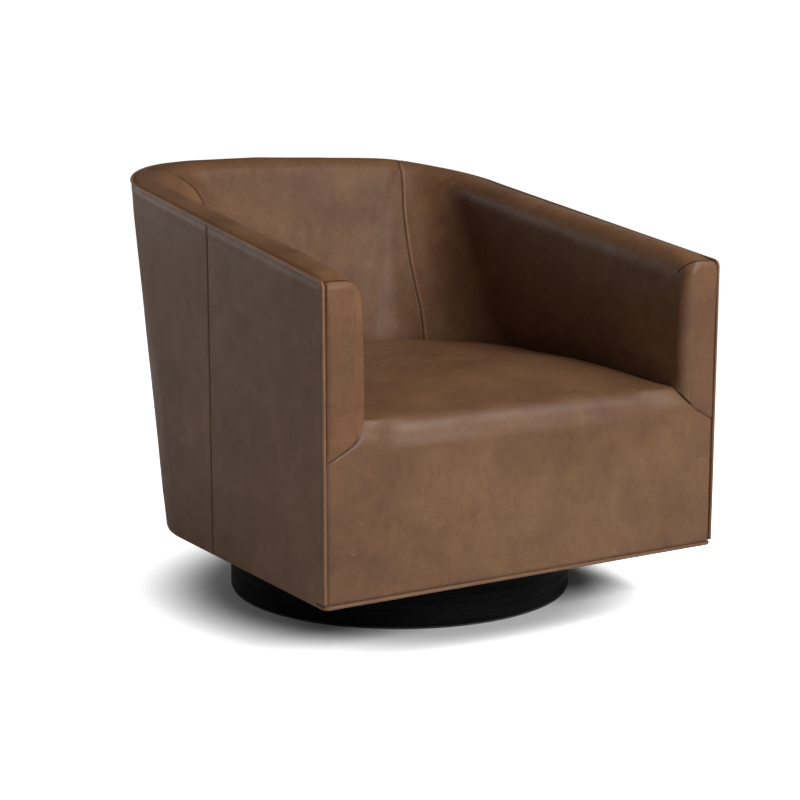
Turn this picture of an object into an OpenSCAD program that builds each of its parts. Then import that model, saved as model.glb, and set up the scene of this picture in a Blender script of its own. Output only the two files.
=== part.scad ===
// Leather swivel tub chair on a round wooden plinth, in millimetres.
// The origin is on the floor at the swivel axis, the seat opens towards -Y and +Z is up.

/* [Body] */
// Width over the leather of the two arms
body_w = 760; // [700:1:820]
// Distance from the swivel axis to the flat front of the chair
front_reach = 405; // [385:1:430]
// Height of the arm tops at the front, above the underside of the body
arm_h = 489; // [460:1:530]
// Slope of the arm tops, in degrees
arm_slope = 9.76; // [7:0.01:12]
// Place on the sides where the top edge starts to lift into the back
lift_start = 200; // [150:1:250]
// Extra lift of the top edge at the end of the next length
lift_gain = 1.15; // [0:0.05:3]
// Length behind that place at which the extra lift is measured
lift_run = 100; // [80:1:120]
// Crown of the padded top above its outer edge
top_crown = 4; // [2:0.5:8]
// Length over which that crown grows from the arm fronts
crown_fade = 60; // [40:1:120]
// Radius of the padded roll from the top down into the inside
roll_r = 24; // [18:0.5:30]
// Radius of the front edge of the arms, along the top, the roll and the inside
arm_edge_r = 12; // [8:0.5:16]
// Depth of the leather edge below the frame
hem_drop = 2.8; // [1:0.1:6]

/* [Top outline] */
// Place where the straight sides end
top_side_y = 257; // [230:1:280]
// Radius of the back corners
top_corner_r = 203; // [160:1:240]
// Radius of the back
top_back_r = 1537; // [900:1:3000]

/* [Bottom outline] */
// Place where the straight sides end
bottom_side_y = 122; // [90:1:160]
// Radius of the back corners
bottom_corner_r = 250; // [200:1:290]
// Radius of the back
bottom_back_r = 1402; // [900:1:3000]

/* [Inside outline] */
// Place at seat height where the straight insides of the arms end
inside_side_y = 68; // [30:1:100]
// Radius of the inside corners at seat height
inside_corner_r = 218; // [170:1:250]
// Radius of the inside back at seat height
inside_back_r = 1300; // [900:1:3000]
// Height of the line where the inside meets the seat, above the underside
inside_join_h = 298; // [285:1:310]
// Bulge of the padded inside back
back_bulge = 8; // [0:0.5:14]
// Bulge of the padded insides of the arms
arm_bulge = 4; // [0:0.5:8]
// Place of the two seams of the inside back at the top, along the corner
seam_top = 1.26; // [1.2:0.01:1.4]
// Place of the same seams at the foot of the top roll
seam_foot = 1.2; // [1.15:0.01:1.4]
// Place of the same seams at the seat
seam_low = 1.365; // [1.2:0.005:1.5]

/* [Layers] */
// Thickness of the leather
leather_t = 1.8; // [1.2:0.1:2.4]
// Play between pieces that lie on each other
lay = 0.3; // [0.2:0.05:0.4]
// Thickness of the fibre boards under the outside leather
board_t = 3; // [2:0.5:4]
// Thickness of the frame timber
frame_t = 25; // [22:0.5:28]
// Thickness of the lining cloth and webbing
liner_t = 1.5; // [1:0.1:2]
// Thickness of the foam on the inside of the arms and back
foam_t = 45; // [40:0.5:50]
// Thickness of the padding over the top rails
top_pad_t = 12; // [10:0.5:14]
// Thickness of the padding on the flat front
face_pad_t = 10; // [8:0.5:14]
// Thickness of the plywood on the flat front
face_board_t = 15; // [12:0.5:18]
// Diameter of the leather piping
piping_d = 6; // [4:0.5:8]
// Bend radius of the bottom piping at the two front corners
piping_bend_r = 8; // [6:0.5:14]
// Rise of the bottom piping above the lower edge of the front
hem_rise = 2; // [0:0.5:5]
// Place of the upright seams of the outside panels
side_seam_y = -17; // [-80:1:60]

/* [Seat] */
// Highest point of the seat above the underside
seat_h = 313; // [305:1:325]
// Crown of the seat above its sides
seat_crown = 14; // [6:0.5:20]
// Fall of the seat towards its front roll
seat_front_fall = 17; // [10:0.5:24]
// Length over which the seat falls to the front
seat_fall_l = 273; // [200:1:300]
// Radius of the front roll
seat_front_r = 32; // [26:0.5:40]
// Depth to which the seat is drawn in along the arms and back
seat_dip = 6; // [2:0.5:10]
// Width of that drawn in edge
seat_dip_w = 25; // [15:1:40]
// Radius of the seam under each arm front
face_seam_r = 48; // [40:0.5:56]
// Height of the centre of that seam above the underside
face_seam_h = 275; // [265:1:285]
// Height of the spring deck above the underside
deck_h = 198; // [180:1:210]
// Thickness of the felt pad over the springs
deck_pad_t = 4; // [3:0.5:6]

/* [Frame] */
// Height of the bottom rails
bottom_rail_h = 70; // [50:1:90]
// Height of the seat rails
seat_rail_h = 70; // [50:1:80]
// Height of the top rails
top_rail_h = 40; // [30:1:50]
// Depth of the front posts
post_l = 50; // [40:1:70]
// Width of the two bearers over the swivel
bearer_w = 50; // [45:1:80]
// Height of the bearers
bearer_h = 35; // [30:1:50]
// Leg length of the triangular corner blocks
block_l = 60; // [40:1:80]
// Height of the corner blocks
block_h = 40; // [25:1:50]
// Length of the short legs between the bottom rails and the seat rails
stub_l = 40; // [30:1:60]

/* [Springs] */
// Diameter of the spring wire
wire_d = 3.6; // [3:0.1:4]
// Width of a zigzag spring
spring_w = 50; // [40:1:60]
// Distance between two bars of a spring
spring_pitch = 30; // [24:1:36]
// Number of springs
spring_count = 5; // [3:1:5]
// Distance between two springs
spring_gap = 100; // [80:1:100]
// Width of a spring clip
clip_w = 16; // [12:1:20]
// Sheet thickness of a spring clip
clip_t = 1.2; // [1:0.1:1.5]

/* [Webbing] */
// Width of a webbing strap in the back
strap_w = 50; // [40:1:60]
// Distance between two upright straps
strap_gap = 100; // [80:1:110]
// Distance between two level straps
strap_rise = 90; // [70:1:100]

/* [Plinth] */
// Diameter of the plinth
plinth_d = 611; // [560:1:660]
// Height of the plinth
plinth_h = 79; // [60:1:110]
// Wall of the plinth ring
plinth_wall = 22; // [18:1:30]
// Thickness of the panel in the top of the plinth
plinth_top_t = 18; // [15:1:25]
// Thickness of the crossed braces
brace_t = 18; // [15:1:25]
// Height of the crossed braces
brace_h = 40; // [25:1:42]
// Side of the glue blocks
glue_block = 20; // [15:1:28]
// Length of the glue blocks
glue_block_l = 40; // [30:1:60]
// Rounding of the bottom and top edges of the plinth
plinth_round = 2; // [1:0.5:4]
// Thickness of the felt ring under the plinth
felt_t = 3; // [2:0.5:5]
// Width of the felt ring
felt_w = 14; // [10:1:16]

/* [Swivel] */
// Side of the two square steel plates
plate_w = 300; // [280:1:320]
// Thickness of the plates
plate_t = 2.5; // [2:0.1:4]
// Corner radius of the plates
plate_corner_r = 20; // [10:1:40]
// Height of the whole swivel
swivel_h = 22; // [21:0.5:28]
// Diameter of the balls
ball_d = 9.5; // [8:0.5:11]
// Number of balls
ball_count = 24; // [12:1:30]
// Radius of the circle of balls
race_r = 85; // [70:1:110]
// Width of the pressed race
race_w = 18; // [15:0.5:24]
// Free height between the two races
race_gap = 5; // [4:0.1:6]
// Play of a ball in its race
ball_play = 0.1; // [0.05:0.05:0.2]
// Thickness of the ball cage
cage_t = 1.6; // [1.2:0.1:2.4]
// Diameter of the pivot
pivot_d = 20; // [14:1:30]
// Radial play of the pivot in the plates
pivot_play = 0.05; // [0.02:0.01:0.1]
// Diameter of the pivot's two heads
pivot_head_d = 32; // [26:1:40]
// Thickness of those heads
pivot_head_t = 2; // [1.5:0.5:3]
// Distance of the fastenings from both centre lines of the plates
bolt_x = 125; // [110:1:130]
// Diameter of the bolts through the plinth
bolt_d = 8; // [6:1:10]
// Diameter of the screws into the bearers
screw_d = 7; // [5:1:8]
// Length of those screws in the bearers
screw_l = 26; // [20:1:28]
// Height of the bolt heads and screw heads
head_h = 4.5; // [3:0.5:5]
// Diameter of those heads
head_d = 15; // [13:1:18]
// Radial play of bolts and screws in the holes they pass through
hole_play = 0.25; // [0.1:0.05:0.5]
// Height of a nut
nut_h = 6.5; // [5:0.5:8]

/* [Dust cover] */
// Thickness of the black cloth under the frame
cover_t = 0.8; // [0.5:0.1:1.2]
// Distance of its edge from the outside of the body
cover_in = 12; // [8:1:20]

/* [Hidden] */
$fn = 96;

// Heights, from the floor up
plate_z = felt_t + plinth_h;
cover_z = plate_z + swivel_h;
frame_z = cover_z + cover_t;
body_z = frame_z - hem_drop;
arm_z = body_z + arm_h;
deck_z = body_z + deck_h;
join_z = body_z + inside_join_h;
seat_z = body_z + seat_h;
face_seam_z = body_z + face_seam_h;

// Depths below the outside surface, from the leather inwards
half_w = body_w / 2;
board_d = leather_t + lay;
frame_d = board_d + board_t + lay;
liner_d = frame_d + frame_t + lay;
foam_d = liner_d + liner_t + lay;
skin_t = leather_t + lay;
wall_t = foam_d + foam_t + skin_t;
face_w = wall_t - arm_edge_r;
inner_half = half_w - wall_t;

// Places of the layers behind the flat front
front_y = -front_reach;
face_pad_y = front_y + skin_t;
face_board_y = face_pad_y + face_pad_t + lay;
rail_y = face_board_y + face_board_t + lay;
rail_back_y = rail_y + frame_t;
post_back_y = rail_y + post_l;
arm_start_y = front_y + arm_edge_r;

// Piping and the edges of the panels that meet at it
piping_r = piping_d / 2;
piping_in = piping_r / 2;
edge_in = piping_in + piping_r + lay;
edge_drop = piping_in + (piping_r + lay) / cos(arm_slope);

// Depths of the seat's layers below the inside surface, counted outwards from it
foam_off = skin_t + foam_t;
liner_off = foam_off + 2 * lay;
strap_play = 8 * lay;
strap_off = foam_off - 2 * lay;
rail_off = liner_off + liner_t + lay;

// The three outlines: half width, end of the straight side, corner radius, back radius
bottom_line = [half_w, bottom_side_y, bottom_corner_r, bottom_back_r];
top_line = [half_w, top_side_y, top_corner_r, top_back_r];
inside_line = [inner_half, inside_side_y, inside_corner_r, inside_back_r];

function lerp(a, b, f) = a + (b - a) * f;
function spread(a, b, n) = [for (k = [0:n]) lerp(a, b, k / n)];
function side_of(u) = u < 0 ? -1 : 1;

// A place along an outline is u: 0 is the middle of the back, 1 the start of the corner arc,
// 2 its end on the straight side and 3 the front end, with u < 0 on the left.
function back_turn(o) = asin((o[0] - o[2]) / (o[3] - o[2]));
function turn(u, o) = let (v = abs(u), h = back_turn(o))
    v <= 1 ? v * h : v <= 2 ? lerp(h, 90, v - 1) : 90;
function back_centre_y(o) = o[1] - (o[3] - o[2]) * cos(back_turn(o));
function edge(u, o, d = 0, stop = front_y) = let (v = abs(u), t = turn(u, o))
    [side_of(u) * (v <= 1 ? (o[3] - d) * sin(t) : v <= 2 ? o[0] - o[2] + (o[2] - d) * sin(t) : o[0] - d),
     v <= 1 ? back_centre_y(o) + (o[3] - d) * cos(t)
         : v <= 2 ? o[1] + (o[2] - d) * cos(t) : lerp(o[1], stop, v - 2)];
function inward(u, o) = [-side_of(u) * sin(turn(u, o)), -cos(turn(u, o)), 0];
// Where an outline, moved inwards by d, crosses a given x
function edge_y(x, o, d = 0) = let (join_x = (o[3] - d) * sin(back_turn(o)))
    abs(x) <= join_x
        ? back_centre_y(o) + sqrt(pow(o[3] - d, 2) - x * x)
        : o[1] + sqrt(pow(o[2] - d, 2) - pow(abs(x) - o[0] + o[2], 2));

// Height of the top edge, and the outside surface that is ruled between the two outlines
function edge_z(y) = arm_z + tan(arm_slope) * (y - front_y)
    + lift_gain * pow(max(0, y - lift_start) / lift_run, 2);
function top_z(u, stop = front_y) = edge_z(edge(u, top_line, 0, stop)[1]);
function shell_pt(u, z, d, stop = front_y) =
    let (f = (z - body_z) / (top_z(u, stop) - body_z),
         p = lerp(edge(u, bottom_line, d, stop), edge(u, top_line, d, stop), f))
    [p[0], p[1], z];

// The inside surface, ruled from the foot of the top roll to the outline at seat height.
// f is 0 at the roll and 1 at the seat, and off moves it outwards.
function inside_pt(u, f, off, w = wall_t, stop = front_y) =
    let (roll_z = top_z(u, stop) - roll_r,
         high = shell_pt(u, roll_z, w - off, stop),
         low = edge(u, inside_line, w - wall_t - off, stop))
    lerp(high, [low[0], low[1], join_z], f);
function bulge_at(u) = lerp(back_bulge, arm_bulge, min(1, abs(u) / 2));

// Closed solid between two grids of points that match row by row
module slab(a, b) {
    n = len(a);
    m = len(a[0]);
    i = floor(n / 2);
    j = floor(m / 2);
    side = cross(a[i][j] - a[i - 1][j], a[i][j] - a[i][j - 1]) * (a[i][j] - b[i][j]);
    at = function (k, l, back) (back ? n * m : 0) + k * m + l;
    quad = function (p, q, r, s) side > 0 ? [[p, q, r], [p, r, s]] : [[r, q, p], [s, r, p]];
    polyhedron(
        points = [for (g = [a, b]) for (row = g) for (p = row) p],
        faces = [
            for (k = [0:n - 2]) for (l = [0:m - 2]) for (t = concat(
                quad(at(k, l, false), at(k, l + 1, false), at(k + 1, l + 1, false), at(k + 1, l, false)),
                quad(at(k, l, true), at(k + 1, l, true), at(k + 1, l + 1, true), at(k, l + 1, true))
            )) t,
            for (k = [0:n - 2]) for (t = concat(
                quad(at(k, 0, false), at(k + 1, 0, false), at(k + 1, 0, true), at(k, 0, true)),
                quad(at(k + 1, m - 1, false), at(k, m - 1, false), at(k, m - 1, true), at(k + 1, m - 1, true))
            )) t,
            for (l = [0:m - 2]) for (t = concat(
                quad(at(0, l + 1, false), at(0, l, false), at(0, l, true), at(0, l + 1, true)),
                quad(at(n - 1, l, false), at(n - 1, l + 1, false), at(n - 1, l + 1, true), at(n - 1, l, true))
            )) t
        ],
        convexity = 6
    );
}

// Grid moved by t against its own normals
function grid_normal(g, i, j) =
    let (n = len(g) - 1,
         m = len(g[0]) - 1,
         c = cross(g[min(i + 1, n)][j] - g[max(i - 1, 0)][j], g[i][min(j + 1, m)] - g[i][max(j - 1, 0)]))
    norm(c) > 0 ? c / norm(c) : [0, -1, 0];
function sink(g, t) = [for (i = [0:len(g) - 1])
    [for (j = [0:len(g[0]) - 1]) g[i][j] - t * grid_normal(g, i, j)]];

// Tube along a path of [point, outward direction] pairs
module tube(path, r, sides = 8) {
    n = len(path);
    rings = [
        for (i = [0:n - 1])
            let (ahead = path[min(i + 1, n - 1)][0] - path[max(i - 1, 0)][0],
                 t = ahead / norm(ahead),
                 b = cross(t, path[i][1]) / norm(cross(t, path[i][1])),
                 c = cross(b, t))
            for (k = [0:sides - 1])
                path[i][0] + r * (cos(k * 360 / sides) * c + sin(k * 360 / sides) * b)
    ];
    polyhedron(
        points = rings,
        faces = concat(
            [[for (k = [sides - 1:-1:0]) k], [for (k = [0:sides - 1]) (n - 1) * sides + k]],
            [
                for (i = [0:n - 2]) for (k = [0:sides - 1])
                    let (a = i * sides + k, b = i * sides + (k + 1) % sides)
                    for (t = [[a, b, b + sides], [a, b + sides, a + sides]]) t
            ]
        ),
        convexity = 10
    );
}

// Rings, plates and mirrored pairs
module pair() {
    children();
    mirror([1, 0, 0]) children();
}
module at_four(x) {
    for (sx = [-1, 1]) for (sy = [-1, 1]) translate([sx * x, sy * x, 0]) children();
}
module rounded_square(w, r) {
    square([w, w - 2 * r], center = true);
    square([w - 2 * r, w], center = true);
    for (sx = [-1, 1]) for (sy = [-1, 1]) translate([sx * (w / 2 - r), sy * (w / 2 - r)]) circle(r);
}
// Plate in the YZ plane from x to x + t, with its outline given as [y, z] points
module side_plate(points, x, t) {
    translate([x, 0, 0]) rotate([90, 0, 90]) linear_extrude(t) polygon(points);
}
// Plate in the XZ plane from y to y + t, with its outline given as [x, z] points
module front_plate(points, y, t) {
    translate([0, y + t, 0]) rotate([90, 0, 0]) linear_extrude(t) polygon(points);
}
module box(x, y, z) {
    translate([x[0], y[0], z[0]]) cube([x[1] - x[0], y[1] - y[0], z[1] - z[0]]);
}

// Plinth
module floor_ring() {
    color("#3a3a3a")
    difference() {
        cylinder(h = felt_t, r = plinth_d / 2 - plinth_round - lay);
        translate([0, 0, -1]) cylinder(h = felt_t + 2, r = plinth_d / 2 - plinth_round - lay - felt_w);
    }
}
plinth_in = plinth_d / 2 - plinth_wall;
module plinth_ring() {
    r = plinth_d / 2;
    c = plinth_round;
    color("#17161a")
    rotate_extrude() polygon([
        [plinth_in, felt_t], [r - c, felt_t], [r, felt_t + c],
        [r, plate_z - c], [r - c, plate_z], [plinth_in, plate_z]
    ]);
}
panel_z = plate_z - plinth_top_t;
module plinth_top() {
    color("#2a2724")
    difference() {
        translate([0, 0, panel_z]) cylinder(h = plinth_top_t, r = plinth_in - lay);
        translate([0, 0, panel_z - 1]) cylinder(h = plinth_top_t + 2, d = pivot_head_d + 8);
        at_four(bolt_x) translate([0, 0, panel_z - 1])
            cylinder(h = plinth_top_t + 2, d = bolt_d + 2 * hole_play);
    }
}
brace_z = panel_z - lay - brace_h;
brace_half = sqrt(pow(plinth_in - lay, 2) - pow(brace_t / 2, 2));
module brace(notch_z) {
    color("#c9a878")
    difference() {
        box([-brace_half, brace_half], [-brace_t / 2, brace_t / 2], [brace_z, brace_z + brace_h]);
        translate([0, 0, notch_z])
            cube([brace_t + 2 * lay, brace_t + 2, brace_h + lay], center = true);
    }
}
module plinth_brace_long() {
    brace(brace_z + brace_h);
}
module plinth_brace_cross() {
    rotate([0, 0, 90]) brace(brace_z);
}
module glue_blocks() {
    outer = plinth_in - lay;
    color("#c9a878")
    for (k = [0:7]) rotate([0, 0, 22.5 + 45 * k])
        intersection() {
            box([outer - glue_block, outer + 1], [-glue_block_l / 2, glue_block_l / 2],
                [panel_z - lay - glue_block, panel_z - lay]);
            translate([0, 0, panel_z - glue_block - 1]) cylinder(h = glue_block + 1, r = outer);
        }
}

// Swivel
ball_z = plate_z + swivel_h / 2;
base_top_z = plate_z + plate_t;
top_plate_z = cover_z - plate_t;
groove_r = ball_d / 2 + ball_play;
module race(z0, z1) {
    rotate_extrude() polygon([
        [race_r - race_w / 2, z0], [race_r + race_w / 2, z0],
        [race_r + race_w / 2, z1], [race_r - race_w / 2, z1]
    ]);
}
module groove() {
    rotate_extrude() translate([race_r, ball_z]) circle(groove_r);
}
module swivel_base_plate() {
    color("#3c3d40")
    difference() {
        union() {
            translate([0, 0, plate_z]) linear_extrude(plate_t) rounded_square(plate_w, plate_corner_r);
            race(plate_z, ball_z - race_gap / 2);
        }
        groove();
        translate([0, 0, plate_z - 1]) cylinder(h = swivel_h, r = pivot_d / 2 + pivot_play);
        at_four(bolt_x) translate([0, 0, plate_z - 1]) cylinder(h = plate_t + 2, d = bolt_d + 2 * hole_play);
    }
}
module swivel_top_plate() {
    color("#3c3d40")
    difference() {
        union() {
            translate([0, 0, top_plate_z]) linear_extrude(plate_t) rounded_square(plate_w, plate_corner_r);
            race(ball_z + race_gap / 2, cover_z);
        }
        groove();
        translate([0, 0, ball_z]) cylinder(h = swivel_h, r = pivot_d / 2 + pivot_play);
        at_four(bolt_x) translate([0, 0, top_plate_z - 1])
            cylinder(h = plate_t + 2, d = screw_d + 2 * hole_play);
    }
}
module swivel_pivot() {
    color("#8d8f93") {
        translate([0, 0, plate_z - pivot_head_t])
            cylinder(h = swivel_h + 2 * pivot_head_t + lay, d = pivot_d);
        translate([0, 0, plate_z - pivot_head_t]) cylinder(h = pivot_head_t, d = pivot_head_d);
        translate([0, 0, cover_z + lay]) cylinder(h = pivot_head_t, d = pivot_head_d);
    }
}
module base_plate_bolts() {
    nut_z = panel_z - nut_h;
    color("#8d8f93")
    at_four(bolt_x) {
        translate([0, 0, base_top_z]) cylinder(h = head_h, d = head_d);
        translate([0, 0, nut_z - 2]) cylinder(h = base_top_z - nut_z + 3, d = bolt_d);
        translate([0, 0, nut_z]) difference() {
            cylinder(h = nut_h, d = head_d, $fn = 6);
            translate([0, 0, -1]) cylinder(h = nut_h + 2, r = bolt_d / 2 + pivot_play);
        }
    }
}
module bearing_balls() {
    color("#c8cacd")
    for (k = [0:ball_count - 1]) rotate([0, 0, k * 360 / ball_count])
        translate([race_r, 0, ball_z]) sphere(d = ball_d);
}
module ball_cage() {
    color("#b08d3c")
    difference() {
        translate([0, 0, ball_z - cage_t / 2]) cylinder(h = cage_t, r = race_r + race_w / 2 - 1);
        translate([0, 0, ball_z - cage_t]) cylinder(h = 2 * cage_t, r = race_r - race_w / 2 + 1);
        for (k = [0:ball_count - 1]) rotate([0, 0, k * 360 / ball_count])
            translate([race_r, 0, ball_z - cage_t]) cylinder(h = 2 * cage_t, r = groove_r);
    }
}
module top_plate_screws() {
    color("#8d8f93")
    at_four(bolt_x) {
        translate([0, 0, top_plate_z - head_h]) cylinder(h = head_h, d = head_d);
        translate([0, 0, top_plate_z - 1]) cylinder(h = frame_z + screw_l - top_plate_z + 1, d = screw_d);
    }
}

// Cloth under the frame
module dust_cover() {
    line = [for (u = concat([-3], spread(-2, -1, 8), spread(-0.75, 0.75, 6), spread(1, 2, 8), [3]))
        edge(u, bottom_line, cover_in, front_y + cover_in)];
    color("#1d1d1f")
    translate([0, 0, cover_z]) linear_extrude(cover_t) difference() {
        polygon(line);
        circle(d = pivot_head_d + 4);
        at_four(bolt_x) circle(d = screw_d + 2 * hole_play);
    }
}

// Bottom of the frame
bottom_rail_z = frame_z + bottom_rail_h;
// Level rail along an outline from place a to place b, between two depths
module curved_rail(o, a, b, n, d0, d1, z, h) {
    translate([0, 0, z]) linear_extrude(h) polygon(concat(
        [for (u = spread(a, b, n)) edge(u, o, d0)],
        [for (u = spread(b, a, n)) edge(u, o, d1)]
    ));
}
join_u = 0.002;
foam_join = 0.006;
module swivel_bearers() {
    x = [bolt_x - bearer_w / 2, bolt_x + bearer_w / 2];
    color("#d2b48c")
    pair() difference() {
        box(x, [rail_back_y + lay, edge_y(x[1], bottom_line, frame_d + frame_t) - lay],
            [frame_z, frame_z + bearer_h]);
        for (s = [-1, 1]) translate([bolt_x, s * bolt_x, frame_z - 1])
            cylinder(h = screw_l + 2, r = screw_d / 2 + pivot_play);
    }
}
module front_bottom_rail() {
    x = half_w - frame_d - frame_t - lay;
    color("#d2b48c") box([-x, x], [rail_y, rail_back_y], [frame_z, bottom_rail_z]);
}
module side_bottom_rails() {
    x = half_w - frame_d;
    color("#d2b48c")
    pair() box([x - frame_t, x], [post_back_y + lay, bottom_side_y - lay], [frame_z, bottom_rail_z]);
}
module corner_bottom_rails() {
    color("#d2b48c")
    pair() curved_rail(bottom_line, 1 + join_u, 2, 8, frame_d, frame_d + frame_t, frame_z, bottom_rail_h);
}
module back_bottom_rail() {
    color("#d2b48c")
    curved_rail(bottom_line, -1 + join_u, 1 - join_u, 8, frame_d, frame_d + frame_t, frame_z, bottom_rail_h);
}
module corner_blocks() {
    x = half_w - frame_d - frame_t - lay;
    y = rail_back_y + lay;
    color("#d2b48c")
    for (z = [bottom_rail_z - block_h, deck_z - block_h])
        pair() translate([0, 0, z]) linear_extrude(block_h)
            polygon([[x, y], [x - block_l, y], [x, y + block_l]]);
}
seat_rail_z = deck_z - seat_rail_h;
module seat_stub_legs() {
    z = [bottom_rail_z + lay, seat_rail_z - lay];
    x = half_w - frame_d;
    back_x = [stub_l, 2 * stub_l];
    color("#d2b48c")
    pair() {
        for (y = [-3 * stub_l, 0]) box([x - frame_t, x], [y, y + stub_l], z);
        box(back_x, [edge_y(back_x[0], bottom_line, frame_d + frame_t),
            edge_y(back_x[1], inside_line, -rail_off - frame_t)], z);
    }
}

// Seat frame
module front_seat_rail() {
    x = half_w - frame_d - frame_t - lay;
    color("#d2b48c") box([-x, x], [rail_y, rail_back_y], [seat_rail_z, deck_z]);
}
module side_seat_rails() {
    x = inner_half + rail_off;
    color("#d2b48c")
    pair() box([x, x + frame_t], [post_back_y + lay, inside_side_y - lay], [seat_rail_z, deck_z]);
}
module corner_seat_rails() {
    color("#d2b48c")
    pair() curved_rail(inside_line, 1 + join_u, 2, 8, -rail_off, -rail_off - frame_t,
        seat_rail_z, seat_rail_h);
}
module back_seat_rail() {
    color("#d2b48c")
    curved_rail(inside_line, -1 + join_u, 1 - join_u, 8, -rail_off, -rail_off - frame_t,
        seat_rail_z, seat_rail_h);
}

// Upper frame
rail_drop = top_pad_t + 1;
post_drop = rail_drop + top_rail_h + 2 * lay;
// Upright between two depths and two places of the shell, from z up to drop below the top edge
module shell_post(a, b, z, drop) {
    wall = function (d) [for (u = [a, b]) [shell_pt(u, z, d), shell_pt(u, top_z(u) - drop, d)]];
    slab(wall(frame_d), wall(frame_d + frame_t));
}
module front_posts() {
    color("#d2b48c")
    pair() side_plate([
        [rail_y, frame_z], [post_back_y, frame_z],
        [post_back_y, edge_z(post_back_y) - post_drop], [rail_y, edge_z(rail_y) - post_drop]
    ], half_w - frame_d - frame_t, frame_t);
}
module rear_posts() {
    color("#d2b48c") pair() shell_post(1.5, 1.625, bottom_rail_z + lay, post_drop);
}
module back_stiles() {
    color("#d2b48c") pair() shell_post(0.5, 0.75, bottom_rail_z + lay, post_drop);
}
module arm_rails() {
    y0 = rail_y;
    y1 = lerp(bottom_side_y, top_side_y, 0.9);
    knee = min(lift_start, y1);
    color("#d2b48c")
    pair() side_plate([
        [y0, edge_z(y0) - rail_drop - top_rail_h], [y1, edge_z(knee) - rail_drop - top_rail_h
            + tan(arm_slope) * (y1 - knee)],
        [y1, edge_z(knee) - rail_drop + tan(arm_slope) * (y1 - knee)], [y0, edge_z(y0) - rail_drop]
    ], half_w - frame_d - frame_t, frame_t);
}
// Top rail that follows the shell, with its ends just short of places a and b
module shell_rail(us) {
    wall = function (d) [for (u = us) [for (drop = [rail_drop + top_rail_h, rail_drop])
        shell_pt(u, top_z(u) - drop, d)]];
    slab(wall(frame_d), wall(frame_d + frame_t));
}
module corner_top_rails() {
    color("#d2b48c") pair() shell_rail(concat([1 + join_u], spread(1.125, 2, 7)));
}
module back_top_rail() {
    color("#d2b48c") shell_rail(concat([-1 + join_u], spread(-0.75, 0.75, 6), [1 - join_u]));
}

// Springs: level zigzag wires from the front seat rail to the back seat rail
wire_r = wire_d / 2;
wire_z = deck_z + clip_t + lay + 0.2 + wire_r;
function spring_x(k) = (k - (spring_count - 1) / 2) * spring_gap;
spring_front_y = rail_y + frame_t / 2;
function spring_back_y(x) = edge_y(abs(x) + spring_w / 2, inside_line, -rail_off) + frame_t / 2;
module zigzag(x, y0, y1) {
    bars = round((y1 - y0) / spring_pitch / 2) * 2;
    pitch = (y1 - y0) / bars;
    bend = pitch / 2;
    straight = spring_w / 2 - wire_r - bend;
    path = concat(
        [[[x - straight, y0, wire_z], [0, 0, 1]]],
        [for (k = [0:bars - 1]) for (a = [-75, 0, 75])
            [[x + (k % 2 == 0 ? 1 : -1) * (straight + bend * cos(a)),
              y0 + (k + 0.5) * pitch + bend * sin(a), wire_z],
             [0, 0, 1]]],
        [[[x - straight, y1, wire_z], [0, 0, 1]]]
    );
    tube(path, wire_r, 6);
}
module seat_springs() {
    color("#77797d")
    for (k = [0:spring_count - 1]) zigzag(spring_x(k), spring_front_y, spring_back_y(spring_x(k)));
}
module clip(x, y) {
    r = wire_r + 0.2;
    color("#9c9ea2")
    translate([x - clip_w / 2, y, wire_z]) rotate([90, 0, 90]) linear_extrude(clip_w) difference() {
        union() {
            circle(r + clip_t);
            translate([-r - clip_t, deck_z - wire_z]) square([2 * (r + clip_t), wire_z - deck_z]);
            translate([-r - 6, deck_z - wire_z]) square([2 * (r + 6), clip_t]);
        }
        circle(r);
    }
}
module spring_clips() {
    for (k = [0:spring_count - 1]) {
        clip(spring_x(k), spring_front_y);
        clip(spring_x(k), spring_back_y(spring_x(k)));
    }
}

// Padding and seat
pad_z = wire_z + wire_r + lay;
seat_foam_z = pad_z + deck_pad_t + lay;
module seat_deck_pad() {
    color("#8a8378")
    translate([0, 0, pad_z]) linear_extrude(deck_pad_t) polygon(concat(
        [[-inner_half + 2, rail_back_y + 2]],
        [for (u = concat(spread(-2, -1, 8), spread(-0.75, 0.75, 6), spread(1, 2, 8)))
            edge(u, inside_line, 2)],
        [[inner_half - 2, rail_back_y + 2]]
    ));
}

// Width left between the arms at a place y, where the inner front edges of the arms are round
function arm_in_x(y) = let (g = max(0, arm_start_y - y) / arm_edge_r)
    half_w - wall_t + arm_edge_r * (1 - sqrt(max(0, 1 - g * g))) - 3 * lay;
// The seam under the arm fronts: an arc, then its tangent out to the side
seam_x = half_w - face_w + face_seam_r;
seam_turn = 70;
function seam_at(t, r) = [seam_x - r * cos(t), face_seam_z - r * sin(t)];
function seam_out_z(x, r) = seam_at(seam_turn, r)[1] - (x - seam_at(seam_turn, r)[0]) * tan(90 - seam_turn);
ear_r = face_seam_r + lay / 2;
roll_foot_z = seam_at(seam_turn * 0.4, ear_r)[1];
seat_back_clear = lay + 0.1;
seat_start_y = front_y + seat_front_r;
function seat_end_y(u) = edge(u, inside_line, seat_back_clear)[1];
function seat_base(y) = seat_z - seat_crown
    - seat_front_fall * pow(max(0, seat_start_y + seat_fall_l - y) / seat_fall_l, 2);
function seat_pt(u, f) =
    let (c = edge(u, inside_line)[0] / inner_half,
         y = lerp(seat_start_y, seat_end_y(u), f),
         lift = seat_crown * (1 - pow(abs(c), 2.5)) * pow(sin(180 * f), 0.7),
         near = min((1 - abs(c)) * inner_half, seat_end_y(u) - y),
         dip = seat_dip * pow(max(0, 1 - near / seat_dip_w), 2) * min(1, 8 * f))
    [c * (inner_half - lay), y, seat_base(y) + lift - dip];
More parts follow.
